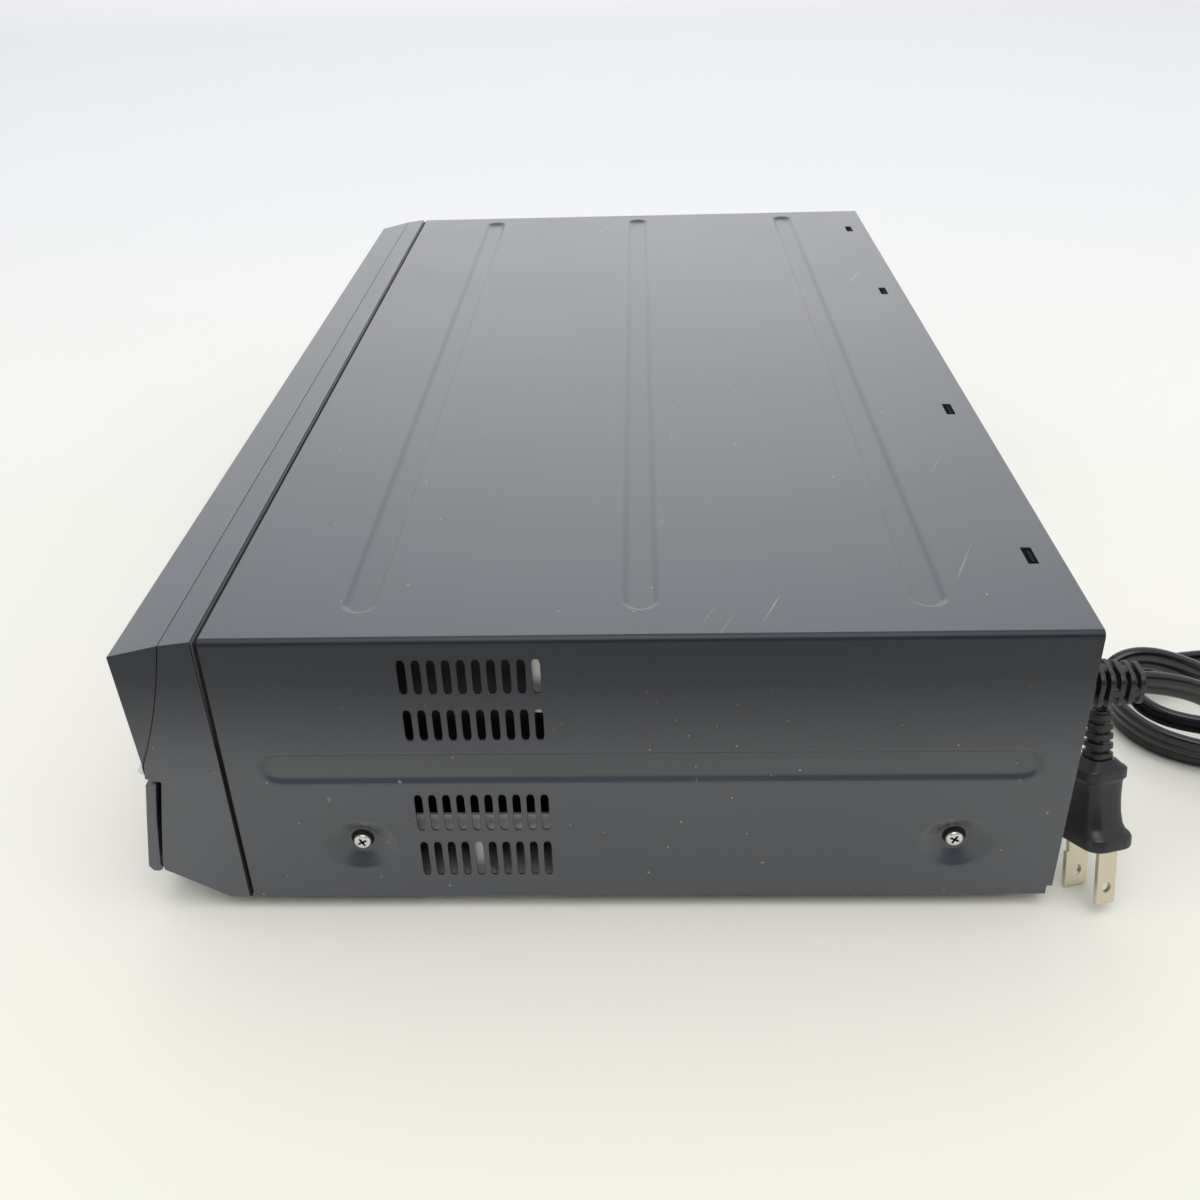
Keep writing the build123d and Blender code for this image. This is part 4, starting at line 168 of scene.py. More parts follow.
# %% Dark card behind the camera
card_height, card_width = 2.0, 5.0
card_spot = (2.3, 0.05, 1.25)
upright = Matrix.Translation(card_spot) @ Matrix.Rotation(math.radians(90), 4, "Y")
mesh = bmesh.new()
bmesh.ops.create_grid(mesh, x_segments=1, y_segments=1, size=0.5)
bmesh.ops.scale(mesh, vec=(card_height, card_width, 1), verts=mesh.verts)
bmesh.ops.transform(mesh, matrix=upright, verts=mesh.verts)
card = to_object("dark_card", mesh)
card_material, card_shader = new_material("card_black")
card_shader.inputs["Base Color"].default_value = (0.02, 0.02, 0.025, 1)
card_shader.inputs["Roughness"].default_value = 0.9
card.data.materials.append(card_material)
print("card faces", len(card.data.polygons))

# %% [markdown]
# Soft light: a pale sky all round and two large panels. One hangs high up, just behind the camera, and makes
# the soft shadow under the case. The other faces away from the player and lights the white wall behind it,
# which the satin paint mirrors as a long pale band. A small bare lamp would leave a hard spot instead.

# %% Light
sky_colour = (0.97, 0.985, 1.0, 1)
sky_strength = 0.94
world = bpy.data.worlds.new("pale_room")
scene.world = world
world.use_nodes = True
world.node_tree.nodes["Background"].inputs["Color"].default_value = sky_colour
world.node_tree.nodes["Background"].inputs["Strength"].default_value = sky_strength


def lamp_panel(name, spot, aim, wide, tall, power):
    """Adds a soft rectangular lamp at a spot, turned towards a point."""
    lamp = bpy.data.objects.new(name, bpy.data.lights.new(name, "AREA"))
    lamp.data.shape = "RECTANGLE"
    lamp.data.size, lamp.data.size_y = wide, tall
    lamp.data.energy = power
    scene.collection.objects.link(lamp)
    lamp.location = spot
    lamp.rotation_euler = (Vector(aim) - Vector(spot)).to_track_quat("-Z", "Y").to_euler()


lamp_panel("overhead_panel", spot=(0.75, 0.05, 1.6), aim=(0.3, 0.05, 0), wide=1.2, tall=1.6, power=13.0)
lamp_panel("wall_panel", spot=(-1.4, 0.0, 1.9), aim=(-3.2, 0.0, 2.3), wide=2.4, tall=0.9, power=36.0)
scene.view_settings.view_transform = "Standard"

# %% [markdown]
# The mains cord is a flat twin: two round cores side by side with a groove between them, 6.4 by 3.2 mm. A
# cord is best drawn as one smooth curve with a small section carried along it. Its points are the route's
# own corners: out of the ribbed relief, down behind the case, round the loops that lie there, and up over
# itself into the plug. The curve is a NURBS of order 3, so it stays smooth between few points.

# %% Route of the cord
lead_points = [
    (0.206, 0.1447, 0.0745),
    (0.206, 0.15875, 0.0738),
    (0.2055, 0.17675, 0.0605),
    (0.204, 0.19875, 0.0425),
    (0.202, 0.21875, 0.025),
    (0.198, 0.23875, 0.0054),
    (0.192, 0.26275, 0.0033),
    (0.182, 0.29045, 0.0033),
    (0.155, 0.31345, 0.0033),
]
loop_points = [
    (0.1240, 0.3245, 0.0033),
    (0.0936, 0.3060, 0.0033),
    (0.0957, 0.2474, 0.0033),
    (0.1020, 0.1898, 0.0033),
    (0.1240, 0.1739, 0.0033),
    (0.1514, 0.1906, 0.0033),
    (0.1568, 0.2474, 0.0033),
    (0.1499, 0.3034, 0.0033),
    (0.1240, 0.3175, 0.0033),
    (0.0996, 0.3025, 0.0033),
    (0.1040, 0.2474, 0.0075),
    (0.1110, 0.1960, 0.0110),
    (0.1260, 0.1790, 0.0120),
    (0.1440, 0.1930, 0.0115),
    (0.1450, 0.2474, 0.0100),
    (0.1506, 0.3038, 0.0098),
    (0.1240, 0.3201, 0.0098),
    (0.1030, 0.3047, 0.0098),
    (0.0966, 0.2474, 0.0098),
    (0.1023, 0.1893, 0.0098),
    (0.1260, 0.1713, 0.0098),
    (0.1552, 0.1884, 0.0098),
    (0.1629, 0.2474, 0.0098),
    (0.1567, 0.3073, 0.0098),
    (0.1240, 0.3271, 0.0098),
    (0.0898, 0.3082, 0.0098),
]
tail_points = [
    (0.081, 0.26045, 0.014),
    (0.098, 0.23445, 0.0172),
    (0.130, 0.21945, 0.0212),
    (0.162, 0.20945, 0.0382),
    (0.188, 0.19245, 0.0505),
    (0.190, 0.16745, 0.0672),
    (0.1882, 0.15015, 0.0720),
    (0.1911, 0.14035, 0.0668),
    (0.19516, 0.14058, 0.05773),
]
print("points", len(lead_points), len(loop_points), len(tail_points))

# %% [markdown]
# The section is a small closed curve of two lobes. It is an ordinary curve object that the cord uses as
# its bevel shape, and it never shows in the render itself. It is drawn in millimetres, and a radius of 0.001
# at each point of the cord brings it to metres.

# %% Section of the cord
section = bpy.data.curves.new("cord_section", "CURVE")
section.dimensions = "2D"
lobes = section.splines.new("NURBS")
half_outline = [(1.15, 0.0), (1.75, 0.85), (1.75, 2.3), (1.0, 3.35)]
half_outline += [(-1.0, 3.35), (-1.75, 2.3), (-1.75, 0.85)]
outline = half_outline + [(-x, -y) for x, y in half_outline]
lobes.points.add(len(outline) - 1)
for point, (x, y) in zip(lobes.points, outline):
    point.co = (x, y, 0, 1)
lobes.use_cyclic_u = True
lobes.order_u = 4
section.resolution_u = 3
section_object = bpy.data.objects.new("cord_section", section)
scene.collection.objects.link(section_object)
section_object.hide_render = True
print("section points", len(outline))

# %% [markdown]
# The cord stands for three engineering pieces: the lead out of the case, the loops and the tail. One curve
# through all their points has no seams, and with its twist set to Z up the section stays level.

# %% Cord
millimetre = 0.001
line = bpy.data.curves.new("mains_cord", "CURVE")
line.dimensions = "3D"
line.twist_mode = "Z_UP"
spline = line.splines.new("NURBS")
route = lead_points + loop_points + tail_points
spline.points.add(len(route) - 1)
for point, spot in zip(spline.points, route):
    point.co = (*spot, 1)
    point.radius = millimetre
spline.order_u = 3
spline.use_endpoint_u = True
line.resolution_u = 10
line.bevel_mode = "OBJECT"
line.bevel_object = section_object
line.use_fill_caps = True
mains_cord = bpy.data.objects.new("mains_cord", line)
scene.collection.objects.link(mains_cord)
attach(mains_cord, "case")
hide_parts("cord_lead", "cord_hank", "cord_tail")
print("cord length", round(spline.calc_length(), 3))

# %% [markdown]
# Moulded and painted skins have a grain: a fine relief that breaks up the gloss, and a slow drift of tone
# over a hand's width. Many finishes share it, so it is built once, as a node group with named inputs. A
# group gives only values, which each finish then uses in its own way. The noise is read in the piece's own
# coordinates, so it stays on the surface when a piece moves.

# %% Fine grain
def effect(name, controls, outputs):
    """A node group with number inputs and outputs, and the sockets that its nodes start from and end at."""
    group = bpy.data.node_groups.new(name, "ShaderNodeTree")
    group.interface.new_socket("Vector", in_out="INPUT", socket_type="NodeSocketVector")
    for title, value in controls.items():
        socket = group.interface.new_socket(title, in_out="INPUT", socket_type="NodeSocketFloat")
        socket.default_value = value
    for title in outputs:
        group.interface.new_socket(title, in_out="OUTPUT", socket_type="NodeSocketFloat")
    return group, group.nodes.new("NodeGroupInput").outputs, group.nodes.new("NodeGroupOutput").inputs


grain, given, wanted = effect("fine_grain", {"Scale": 1500.0, "Detail": 2.0}, ["Height", "Tone"])
fine = add(grain, "ShaderNodeTexNoise", {title: given[title] for title in ("Vector", "Scale", "Detail")})
broad = add(grain, "ShaderNodeTexNoise", {"Vector": given["Vector"], "Scale": 9.0, "Detail": 3.0})
grain.links.new(fine.outputs["Fac"], wanted["Height"])
grain.links.new(broad.outputs["Fac"], wanted["Tone"])
print("grain nodes", len(grain.nodes))

# %% [markdown]
# Scuffs are the long fine scratches of handling. Noise that is stretched along one direction and squeezed
# across it turns into lines, and only its highest peaks are kept. A second, broad noise lets them appear in
# patches, because a case is scratched where it was pushed and not all over.

# %% Scuffs
def calculate(tree, operation, first, second=0.0):
    """What one Math node gives."""
    return add(tree, "ShaderNodeMath", {0: first, 1: second}, operation=operation).outputs[0]


def stretched(tree, vector, along, across):
    """Coordinates multiplied by one number along x and by another along y and z."""
    factors = add(tree, "ShaderNodeCombineXYZ", {"X": along, "Y": across, "Z": across}).outputs[0]
    return add(tree, "ShaderNodeVectorMath", {0: vector, 1: factors}, operation="MULTIPLY").outputs[0]


fade = 0.04
scuff_controls = {"Length": 10.0, "Thinness": 420.0, "Turn": 0.4, "Keep": 0.74}
scuffs, given, wanted = effect("long_scuffs", scuff_controls, ["Mask"])
heading = {"Vector": given["Vector"], "Angle": given["Turn"]}
turned = add(scuffs, "ShaderNodeVectorRotate", heading, rotation_type="Z_AXIS").outputs[0]
streaks = stretched(scuffs, turned, given["Length"], given["Thinness"])
lines = add(scuffs, "ShaderNodeTexNoise", {"Vector": streaks, "Scale": 1.0, "Detail": 1.0})
peaks = {"Value": lines.outputs["Fac"], "From Min": given["Keep"]}
peaks["From Max"] = calculate(scuffs, "ADD", given["Keep"], fade)
line_mask = add(scuffs, "ShaderNodeMapRange", peaks).outputs[0]
patches = add(scuffs, "ShaderNodeTexNoise", {"Vector": given["Vector"], "Scale": 21.0, "Detail": 1.0})
pushed = {"Value": patches.outputs["Fac"], "From Min": 0.56, "From Max": 0.66}
patch_mask = add(scuffs, "ShaderNodeMapRange", pushed).outputs[0]
scuffs.links.new(calculate(scuffs, "MULTIPLY", line_mask, patch_mask), wanted["Mask"])
print("scuff nodes", len(scuffs.nodes))

# %% [markdown]
# Dust lies in separate pale dots. A Voronoi pattern divides space into cells; the middle of each cell may
# hold one dot, and the cell's own random colour decides whether it does.

# %% Dust
specks, given, wanted = effect("dust_specks", {"Scale": 150.0, "Size": 0.05, "Share": 0.3}, ["Mask"])
cells = add(specks, "ShaderNodeTexVoronoi", {"Vector": given["Vector"], "Scale": given["Scale"]})
lot = add(specks, "ShaderNodeSeparateColor", {"Color": cells.outputs["Color"]}).outputs[0]
close = calculate(specks, "LESS_THAN", cells.outputs["Distance"], given["Size"])
drawn = calculate(specks, "LESS_THAN", lot, given["Share"])
specks.links.new(calculate(specks, "MULTIPLY", close, drawn), wanted["Mask"])
print("dust nodes", len(specks.nodes))

# %% [markdown]
# Rolled and brushed metal has fine lines along one direction. It is the same stretched noise as for the
# scuffs, but all of it is kept, and it goes into the bump.

# %% Brushed lines
brushing, given, wanted = effect("sheet_brushing", {"Along": 30.0, "Across": 2600.0}, ["Height"])
combed = stretched(brushing, given["Vector"], given["Along"], given["Across"])
hairs = add(brushing, "ShaderNodeTexNoise", {"Vector": combed, "Scale": 1.0, "Detail": 2.0})
brushing.links.new(hairs.outputs["Fac"], wanted["Height"])
print("brushing nodes", len(brushing.nodes))

# %% [markdown]
# The player's upright end is glossy at its foot, where it mirrors the white table, and almost black near
# its top, where it mirrors the dark room. The studio here is simpler than that room, so that dark reflection
# is painted in as shade by a mask: it rises with the height, and only beyond a given distance from the
# player's middle, so on the upright ends.

# %% Shade on the upright ends
shade_up, given, wanted = effect("upright_shade", {"Low": 0.045, "High": 0.092, "Side": 0.2128}, ["Mask"])
there = add(shade_up, "ShaderNodeSeparateXYZ", {0: given["Vector"]}).outputs
heights = {"Value": there["Z"], "From Min": given["Low"], "From Max": given["High"]}
rising = add(shade_up, "ShaderNodeMapRange", heights, interpolation_type="SMOOTHSTEP").outputs[0]
outward = calculate(shade_up, "ABSOLUTE", there["X"])
beyond = calculate(shade_up, "GREATER_THAN", outward, given["Side"])
shade_up.links.new(calculate(shade_up, "MULTIPLY", rising, beyond), wanted["Mask"])
print("upright shade nodes", len(shade_up.nodes))

# %% [markdown]
# A screw's cross and the ring round its head are so narrow that hardly any light comes back out of them.
# This mask picks a round spot on the player's ends, at a given place and radius, and only what lies less
# far out than a given depth.

# %% Deep hollow
hollow_controls = {"Y": 0.0, "Z": 0.025, "Radius": 0.003, "Depth": 1.0}
hollow, given, wanted = effect("deep_hollow", hollow_controls, ["Mask"])
there = add(hollow, "ShaderNodeSeparateXYZ", {0: given["Vector"]}).outputs
flat_spot = add(hollow, "ShaderNodeCombineXYZ", {"Y": there["Y"], "Z": there["Z"]}).outputs[0]
centre = add(hollow, "ShaderNodeCombineXYZ", {"Y": given["Y"], "Z": given["Z"]}).outputs[0]
gap = add(hollow, "ShaderNodeVectorMath", {0: flat_spot, 1: centre}, operation="DISTANCE").outputs["Value"]
inside = calculate(hollow, "LESS_THAN", gap, given["Radius"])
sunk = calculate(hollow, "LESS_THAN", calculate(hollow, "ABSOLUTE", there["X"]), given["Depth"])
hollow.links.new(calculate(hollow, "MULTIPLY", inside, sunk), wanted["Mask"])
print("hollow nodes", len(hollow.nodes))

# %% [markdown]
# The front moulding's rear edge stands in the joint between it and the steel cover, in deep shade too. This
# mask picks what lies behind a given line, and either far out at the sides or high at the top, so the
# moulding's inner walls and its face are left as they are.

# %% Joint in shade
joint, given, wanted = effect("rear_joint", {"Rear": -0.1090, "Side": 0.2118, "Top": 0.0932}, ["Mask"])
there = add(joint, "ShaderNodeSeparateXYZ", {0: given["Vector"]}).outputs
behind = calculate(joint, "GREATER_THAN", there["Y"], given["Rear"])
at_side = calculate(joint, "GREATER_THAN", calculate(joint, "ABSOLUTE", there["X"]), given["Side"])
at_top = calculate(joint, "GREATER_THAN", there["Z"], given["Top"])
either = calculate(joint, "MAXIMUM", at_side, at_top)
joint.links.new(calculate(joint, "MULTIPLY", behind, either), wanted["Mask"])
print("shared effects", [g.name for g in bpy.data.node_groups])

# %% [markdown]
# Most of the player is black: painted steel, moulded plastic and rubber. They differ in gloss, grain and
# wear, so one recipe makes them all. The base colour drifts a little, fine grain feeds the bump, and
# scuffs and specks lighten the colour and roughen the gloss where they fall. Paint and glossy mouldings get
# a clear coat as well. High on the upright ends the coat fades out and painted shade turns the colour
# near-black, for the dark room that the gloss mirrors there.

# %% Recipe for a worked surface
def effect_in(tree, group, **values):
    """One of the shared effects inside a material, read in the piece's own coordinates."""
    placed = add(tree, "ShaderNodeGroup", values, node_tree=group)
    tree.links.new(tree.nodes["Texture Coordinate"].outputs["Object"], placed.inputs["Vector"])
    return placed.outputs


def from_tone(tree, tone, low, high):
    """A value that follows the slow drift of tone between two ends."""
    span = {"Value": tone, "From Min": 0.3, "From Max": 0.7, "To Min": low, "To Max": high}
    return add(tree, "ShaderNodeMapRange", span).outputs[0]


def blend(tree, mask, plain, marked, kind="FLOAT"):
    """A plain value or colour that gives way to another one where a mask says so."""
    mix = add(tree, "ShaderNodeMix", {"Factor": mask, "A": plain, "B": marked}, data_type=kind)
    return mix.outputs["Result"]


def skin(name, colour, rough, size, lift, drift=0.12, scuff=0.0, dust=0.0, turn=0.4,
         coat=0.0, coat_rough=0.3, side=0.2133):
    """A finish with a grain of some size and lift, a drifting colour, marks of use and a clear coat, which
    brings painted shade high on the upright ends.
    """
    mark_colour, mark_rough = (0.3, 0.3, 0.31, 1), 0.75
    # the colour of the painted shade high on the upright ends: the navy black that the dark room gives in
    # the gloss
    shade_colour = (0.004, 0.007, 0.016, 1)
    rough_drift = 0.07
    material, shader = new_material(name)
    tree = material.node_tree
    add(tree, "ShaderNodeTexCoord")
    fine = effect_in(tree, grain, Scale=1 / size)
    tone = from_tone(tree, fine["Tone"], 1 - drift, 1 + drift)
    colour_now = add(tree, "ShaderNodeVectorMath", {0: colour, 1: tone}, operation="MULTIPLY").outputs[0]
    rough_now = from_tone(tree, fine["Tone"], rough * (1 - rough_drift), rough * (1 + rough_drift))
    masks = []  # where marks of use fall
    if scuff:
        masks.append(calculate(tree, "MULTIPLY", effect_in(tree, scuffs, Turn=turn)["Mask"], scuff))
    if dust:
        masks.append(calculate(tree, "MULTIPLY", effect_in(tree, specks)["Mask"], dust))
    for mask in masks:
        colour_now = blend(tree, mask, colour_now, mark_colour, "RGBA")
        rough_now = blend(tree, mask, rough_now, mark_rough)
    if coat:
        # painted shade: high on the upright ends the colour turns near-black and the coat fades, for the
        # dark room mirrored there
        high = effect_in(tree, shade_up, Side=side)["Mask"]
        weight = add(tree, "ShaderNodeMapRange", {"Value": high, "To Min": coat, "To Max": 0.0})
        tree.links.new(weight.outputs[0], shader.inputs["Coat Weight"])
        shader.inputs["Coat Roughness"].default_value = coat_rough
        colour_now = blend(tree, high, colour_now, shade_colour, "RGBA")
    tree.links.new(colour_now, shader.inputs["Base Color"])
    tree.links.new(rough_now, shader.inputs["Roughness"])
    bump = add(tree, "ShaderNodeBump", {"Height": fine["Height"], "Strength": lift, "Distance": 0.0002})
    tree.links.new(bump.outputs[0], shader.inputs["Normal"])
    return material


print("recipe:", skin.__doc__)

# %% [markdown]
# Metal is the same recipe with the brushed lines in place of the grain and the shader's Metallic turned up.
# Zinc plating is dull with age, so it is only partly metallic.

# %% Recipe for metal
def metal(name, colour, rough, along, lift, metallic=1.0):
    """Bare or plated metal with the fine lines of rolling or brushing."""
    material = skin(name, colour, rough, size=0.0012, lift=lift, drift=0.06)
    tree = material.node_tree
    brushed = effect_in(tree, brushing, Along=along)["Height"]
    tree.links.new(brushed, tree.nodes["Bump"].inputs["Height"])
    tree.nodes["Principled BSDF"].inputs["Metallic"].default_value = metallic
    return material


print("recipe:", metal.__doc__)

# %% [markdown]
# Where a hollow or the joint is in deep shade, a finish turns black. Its colour, its coat and its roughness
# are each led through one more blend, just before the shader, with the effect's mask in charge.

# %% Deep shade in a finish
def blacken(material, effect_group, **values):
    """Makes a finish black where an effect's mask says so, as deep shade does."""
    tree = material.node_tree
    shader = tree.nodes["Principled BSDF"]
    mask = effect_in(tree, effect_group, **values)["Mask"]
    darkest = {"Base Color": (0.002, 0.002, 0.002, 1), "Coat Weight": 0.0, "Roughness": 0.9}
    for title, dark in darkest.items():
        socket = shader.inputs[title]
        if socket.is_linked:
            kind = "RGBA" if title == "Base Color" else "FLOAT"
            tree.links.new(blend(tree, mask, socket.links[0].from_socket, dark, kind), socket)


print("recipe:", blacken.__doc__)

# %% [markdown]
# One finish for each kind of surface in the record. The colours are the plain colours of the things
# themselves and the light in the room does the rest, except for painted shade: near-black high on the
# upright ends of the two black skins that show most, which carry a clear coat, and black in the places of
# deep shade below.

# %% Paint, plastics and other skins
finish = {}
finish["black_steel"] = skin(
    "satin_black_paint", (0.030, 0.036, 0.051), 0.43, size=0.0006, lift=0.12, drift=0.1,
    scuff=0.7, dust=0.8, coat=1.0, coat_rough=0.27,
)
finish["black_plastic"] = skin(
    "satin_black_moulding", (0.042, 0.048, 0.064), 0.44, size=0.0005, lift=0.1, drift=0.08,
    scuff=0.25, dust=0.5, turn=1.3, coat=1.0, coat_rough=0.31, side=0.2146,
)
finish["black_rubber"] = skin(
    "soft_black_rubber", (0.012, 0.012, 0.014), 0.36, size=0.0009, lift=0.12, drift=0.1,
)
finish["cord_black"] = skin(
    "glossy_cord_jacket", (0.005, 0.006, 0.009), 0.24, size=0.004, lift=0.12, drift=0.1,
)
finish["jack_plastic"] = skin("jack_moulding", (0.03, 0.03, 0.032), 0.3, size=0.001, lift=0.05)
finish["grey_plastic"] = skin("matte_grey_moulding", (0.014, 0.014, 0.015), 0.6, size=0.0008, lift=0.15)
finish["white_plastic"] = skin("milky_moulding", (0.78, 0.78, 0.74), 0.45, size=0.001, lift=0.05, drift=0.03)
finish["ferrite"] = skin("varnished_ferrite", (0.05, 0.045, 0.04), 0.55, size=0.0012, lift=0.3)
finish["capacitor_sleeve"] = skin("printed_sleeve", (0.02, 0.03, 0.1), 0.3, size=0.002, lift=0.03)
finish["board_green"] = skin("lacquered_board", (0.02, 0.1, 0.05), 0.4, size=0.0025, lift=0.3, drift=0.25)
finish["smoked_lens"] = skin("smoked_window", (0.008, 0.008, 0.01), 0.08, size=0.01, lift=0.0)
lens_shader = finish["smoked_lens"].node_tree.nodes["Principled BSDF"]
lens_shader.inputs["Coat Weight"].default_value = 0.5
print("skins", len(finish))

# %% [markdown]
# The metals: folded sheet, screws and rods, cast and turned parts, the thin silver film on the trim, and
# the plug's plated blades.

# %% Metals
finish["zinc_steel"] = metal(
    "zinc_plated_sheet", (0.78, 0.78, 0.76), 0.42, along=24.0, lift=0.08, metallic=0.4,
)
finish["bright_steel"] = metal("bright_plated_steel", (0.72, 0.72, 0.71), 0.28, along=90.0, lift=0.05)
finish["aluminium"] = metal("machined_aluminium", (0.75, 0.76, 0.77), 0.34, along=40.0, lift=0.06)
finish["silver_trim"] = metal("silver_film", (0.6, 0.61, 0.62), 0.24, along=10.0, lift=0.01)
finish["blade_brass"] = metal("nickel_washed_brass", (0.66, 0.60, 0.46), 0.33, along=200.0, lift=0.08)
print("finishes", len(finish))

# %% [markdown]
# The places in deep shade: the chassis just under the cover's top, the joint at the front moulding, and the
# side screws, each with the ring of painted steel round its head and the cross in it. Then every
# engineering piece and the cord get the finish that their record names.

# %% Finishes on the pieces
side_screws_y = (-0.07265, 0.09925)
side_screws_z = 0.025
ring_z, ring_radius = 0.0255, 0.0034
cross_radius, cross_depth = 0.00165, 0.2133
everywhere = -1.0
blacken(finish["zinc_steel"], shade_up, Low=0.0921, High=0.0925, Side=everywhere)
blacken(finish["black_plastic"], joint)
for y in side_screws_y:
    blacken(finish["black_steel"], hollow, Y=y, Z=ring_z, Radius=ring_radius)
    blacken(finish["bright_steel"], hollow, Y=y, Z=side_screws_z, Radius=cross_radius, Depth=cross_depth)
for name, node in nodes.items():
    node.data.materials.clear()
    node.data.materials.append(finish[slots[name]])
mains_cord.data.materials.append(finish["cord_black"])
print("pieces with a finish", len(nodes) + 1)

# %% [markdown]
# Cut edges of sheet and moulded corners are never perfectly sharp, and their thin highlights are what the
# eye reads first. A copy of the engineering piece is merged and cleaned of stray edges, and every edge gets
# a weight: a wide soft one where the press has stretched the steel, a narrow one where a tool has cut it.
# The bevel modifier reads the weights, so the shape underneath stays as plain as it was drawn.

# %% Weights for the edges
widest = 0.0018
sharp_turn, slight_turn = 55, 21
rim_reach, rim_weight = 0.0105, 0.4


def weigh_edges(mesh, cut_edge, pressed_edge, dimples):
    """Gives every turned edge of a mesh its share of the widest bevel."""
    weight = mesh.edges.layers.float.new("bevel_weight_edge")
    for edge in mesh.edges:
        if len(edge.link_faces) != 2:
            continue
        turn = math.degrees(edge.calc_face_angle(0.0))
        middle = (edge.verts[0].co + edge.verts[1].co) / 2
        if turn > sharp_turn or (turn > slight_turn and not pressed_edge):
            edge[weight] = cut_edge / widest
        elif turn > slight_turn:
            on_rim = any(math.hypot(middle.y - y, middle.z - z) < rim_reach for y, z in dimples)
            edge[weight] = rim_weight if on_rim else pressed_edge / widest


print("widest soft edge", widest)

# %% [markdown]
# The dimples round the side screws open a little wider than they were drawn, and wider than they are high.
# So the vertices on a rim, which lie at the steel's outside and well away from the screw, are put on an
# ellipse round the screw.

# %% Rims of the dimples
steel_outside = 0.2138
floor_reach = 0.006
rim_half_wide, rim_half_high = 0.0107, 0.0093


def widen_rims(mesh, dimples):
    """Moves the vertices on each dimple's rim to an ellipse round its middle."""
    for vertex in mesh.verts:
        for y, z in dimples:
            from_axis = math.hypot(vertex.co.y - y, vertex.co.z - z)
            if abs(vertex.co.x) > steel_outside and floor_reach < from_axis < rim_reach:
                vertex.co.y = y + (vertex.co.y - y) * rim_half_wide / from_axis
                vertex.co.z = z + (vertex.co.z - z) * rim_half_high / from_axis


print("dimple rim", rim_half_wide * 2, "by", rim_half_high * 2)

# %% [markdown]
# Each softened copy stands for its engineering piece: it rides on the same body and has the same slot. A
# weighted normal after the bevel keeps the large faces flat, and the narrow ones take all the rounding.

# %% Soft-edged copies
def soft_edges(made, normal_weight, **settings):
    """A live bevel, and normals that keep the flat faces flat."""
    bevel = made.modifiers.new("soft_edges", "BEVEL")
    for key, value in settings.items():
        setattr(bevel, key, value)
    flat = made.modifiers.new("flat_faces_stay_flat", "WEIGHTED_NORMAL")
    flat.weight = normal_weight


def soften(name, cut_edge, pressed_edge=None, dimples=()):
    """A copy of an engineering piece with softened edges, which then stands for it."""
    mesh = bmesh.new()
    mesh.from_mesh(nodes[name].data)
    bmesh.ops.remove_doubles(mesh, verts=mesh.verts, dist=0.000002)
    bmesh.ops.dissolve_limit(mesh, angle_limit=math.radians(0.4), verts=mesh.verts, edges=mesh.edges)
    weigh_edges(mesh, cut_edge, pressed_edge, dimples)
    widen_rims(mesh, dimples)
    for face in mesh.faces:
        face.smooth = True
    made = to_object(name + "_finished", mesh)
    made.data.materials.append(finish[slots[name]])
    soft_edges(made, 100, width=widest, segments=3, limit_method="WEIGHT", use_clamp_overlap=False)
    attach(made, owner[name])
    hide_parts(name)
    return made


side_dimples = [(y, side_screws_z) for y in side_screws_y]
cover_piece = soften("cover", cut_edge=0.00014, pressed_edge=0.0007, dimples=side_dimples)
print(cover_piece.name, "faces", len(cover_piece.data.polygons))
moulded = {"fascia": 0.0002, "brow_panel": 0.00025, "front_flap": 0.0003, "cassette_door": 0.0003}
moulded.update({"tray_bezel": 0.0003, "power_button": 0.0003, "tray_button": 0.0003})
moulded.update({"plug_blades": 0.00015, "display_window": 0.0003})
soft_pieces = {name: soften(name, edge) for name, edge in moulded.items()}
print("moulded pieces", list(soft_pieces))

# %% [markdown]
# Between the fascia and the steel cover runs a dark joint a little over a millimetre wide, because a sheet
# cover slides in behind the moulding. The moulding's rear rim is drawn back a little, so the joint opens,
# and its tongue, which reaches under the cover, stays where it is.

# %% Joint behind the fascia
rim_front, rim_rear = -0.1097, -0.1078
tongue_side, tongue_top = 0.2137, 0.0952
drawn_back = 0.0001
for vertex in soft_pieces["fascia"].data.vertices:
    on_tongue = abs(vertex.co.x) < tongue_side and vertex.co.z < tongue_top
    if rim_front < vertex.co.y < rim_rear and not on_tongue:
        vertex.co.y -= drawn_back
print("tongue ends at", round(max(v.co.y for v in soft_pieces["fascia"].data.vertices), 4))

# %% [markdown]
# The plug and the strain relief are soft plastic, moulded round the cord. Their sections are rounded
# rectangles that grow and shrink along a line. One flat face with bevelled corners is extruded again and
# again, and each new face is scaled to the next section, as a sculptor would build it up in slices.

# %% Slices along a line
def slices(mesh, stations, place):
    """Adds a closed form from (height, wide, deep) stations to a mesh, then moves it to its place."""
    corner_share = 0.3
    first = stations[0][0]
    z, wide, deep = stations[0]
    made = bmesh.ops.create_grid(mesh, x_segments=1, y_segments=1, size=0.5)["verts"]
    bmesh.ops.scale(mesh, vec=(wide, deep, 1), verts=made)
    bmesh.ops.translate(mesh, vec=(0, 0, z), verts=made)
    corner = min(wide, deep) * corner_share
    rounded = bmesh.ops.bevel(
        mesh, geom=made, offset=corner, segments=4, profile=0.5, affect="VERTICES", material=-1,
    )
    face = max((f for v in rounded["verts"] for f in v.link_faces), key=lambda f: len(f.verts))
    kept = list(face.verts)
    for next_z, next_wide, next_deep in stations[1:]:
        grown = bmesh.ops.extrude_face_region(mesh, geom=[face])["geom"]
        moved = vertices_in(grown)
        old, face = face, next(part for part in grown if isinstance(part, bmesh.types.BMFace))
        bmesh.ops.translate(mesh, vec=(0, 0, next_z - z), verts=moved)
        bmesh.ops.scale(mesh, vec=(next_wide / wide, next_deep / deep, 1), verts=moved)
        if old.is_valid and z != first:
            bmesh.ops.delete(mesh, geom=[old], context="FACES_ONLY")
        kept += moved
        z, wide, deep = next_z, next_wide, next_deep
    bmesh.ops.transform(mesh, matrix=place, verts=kept)


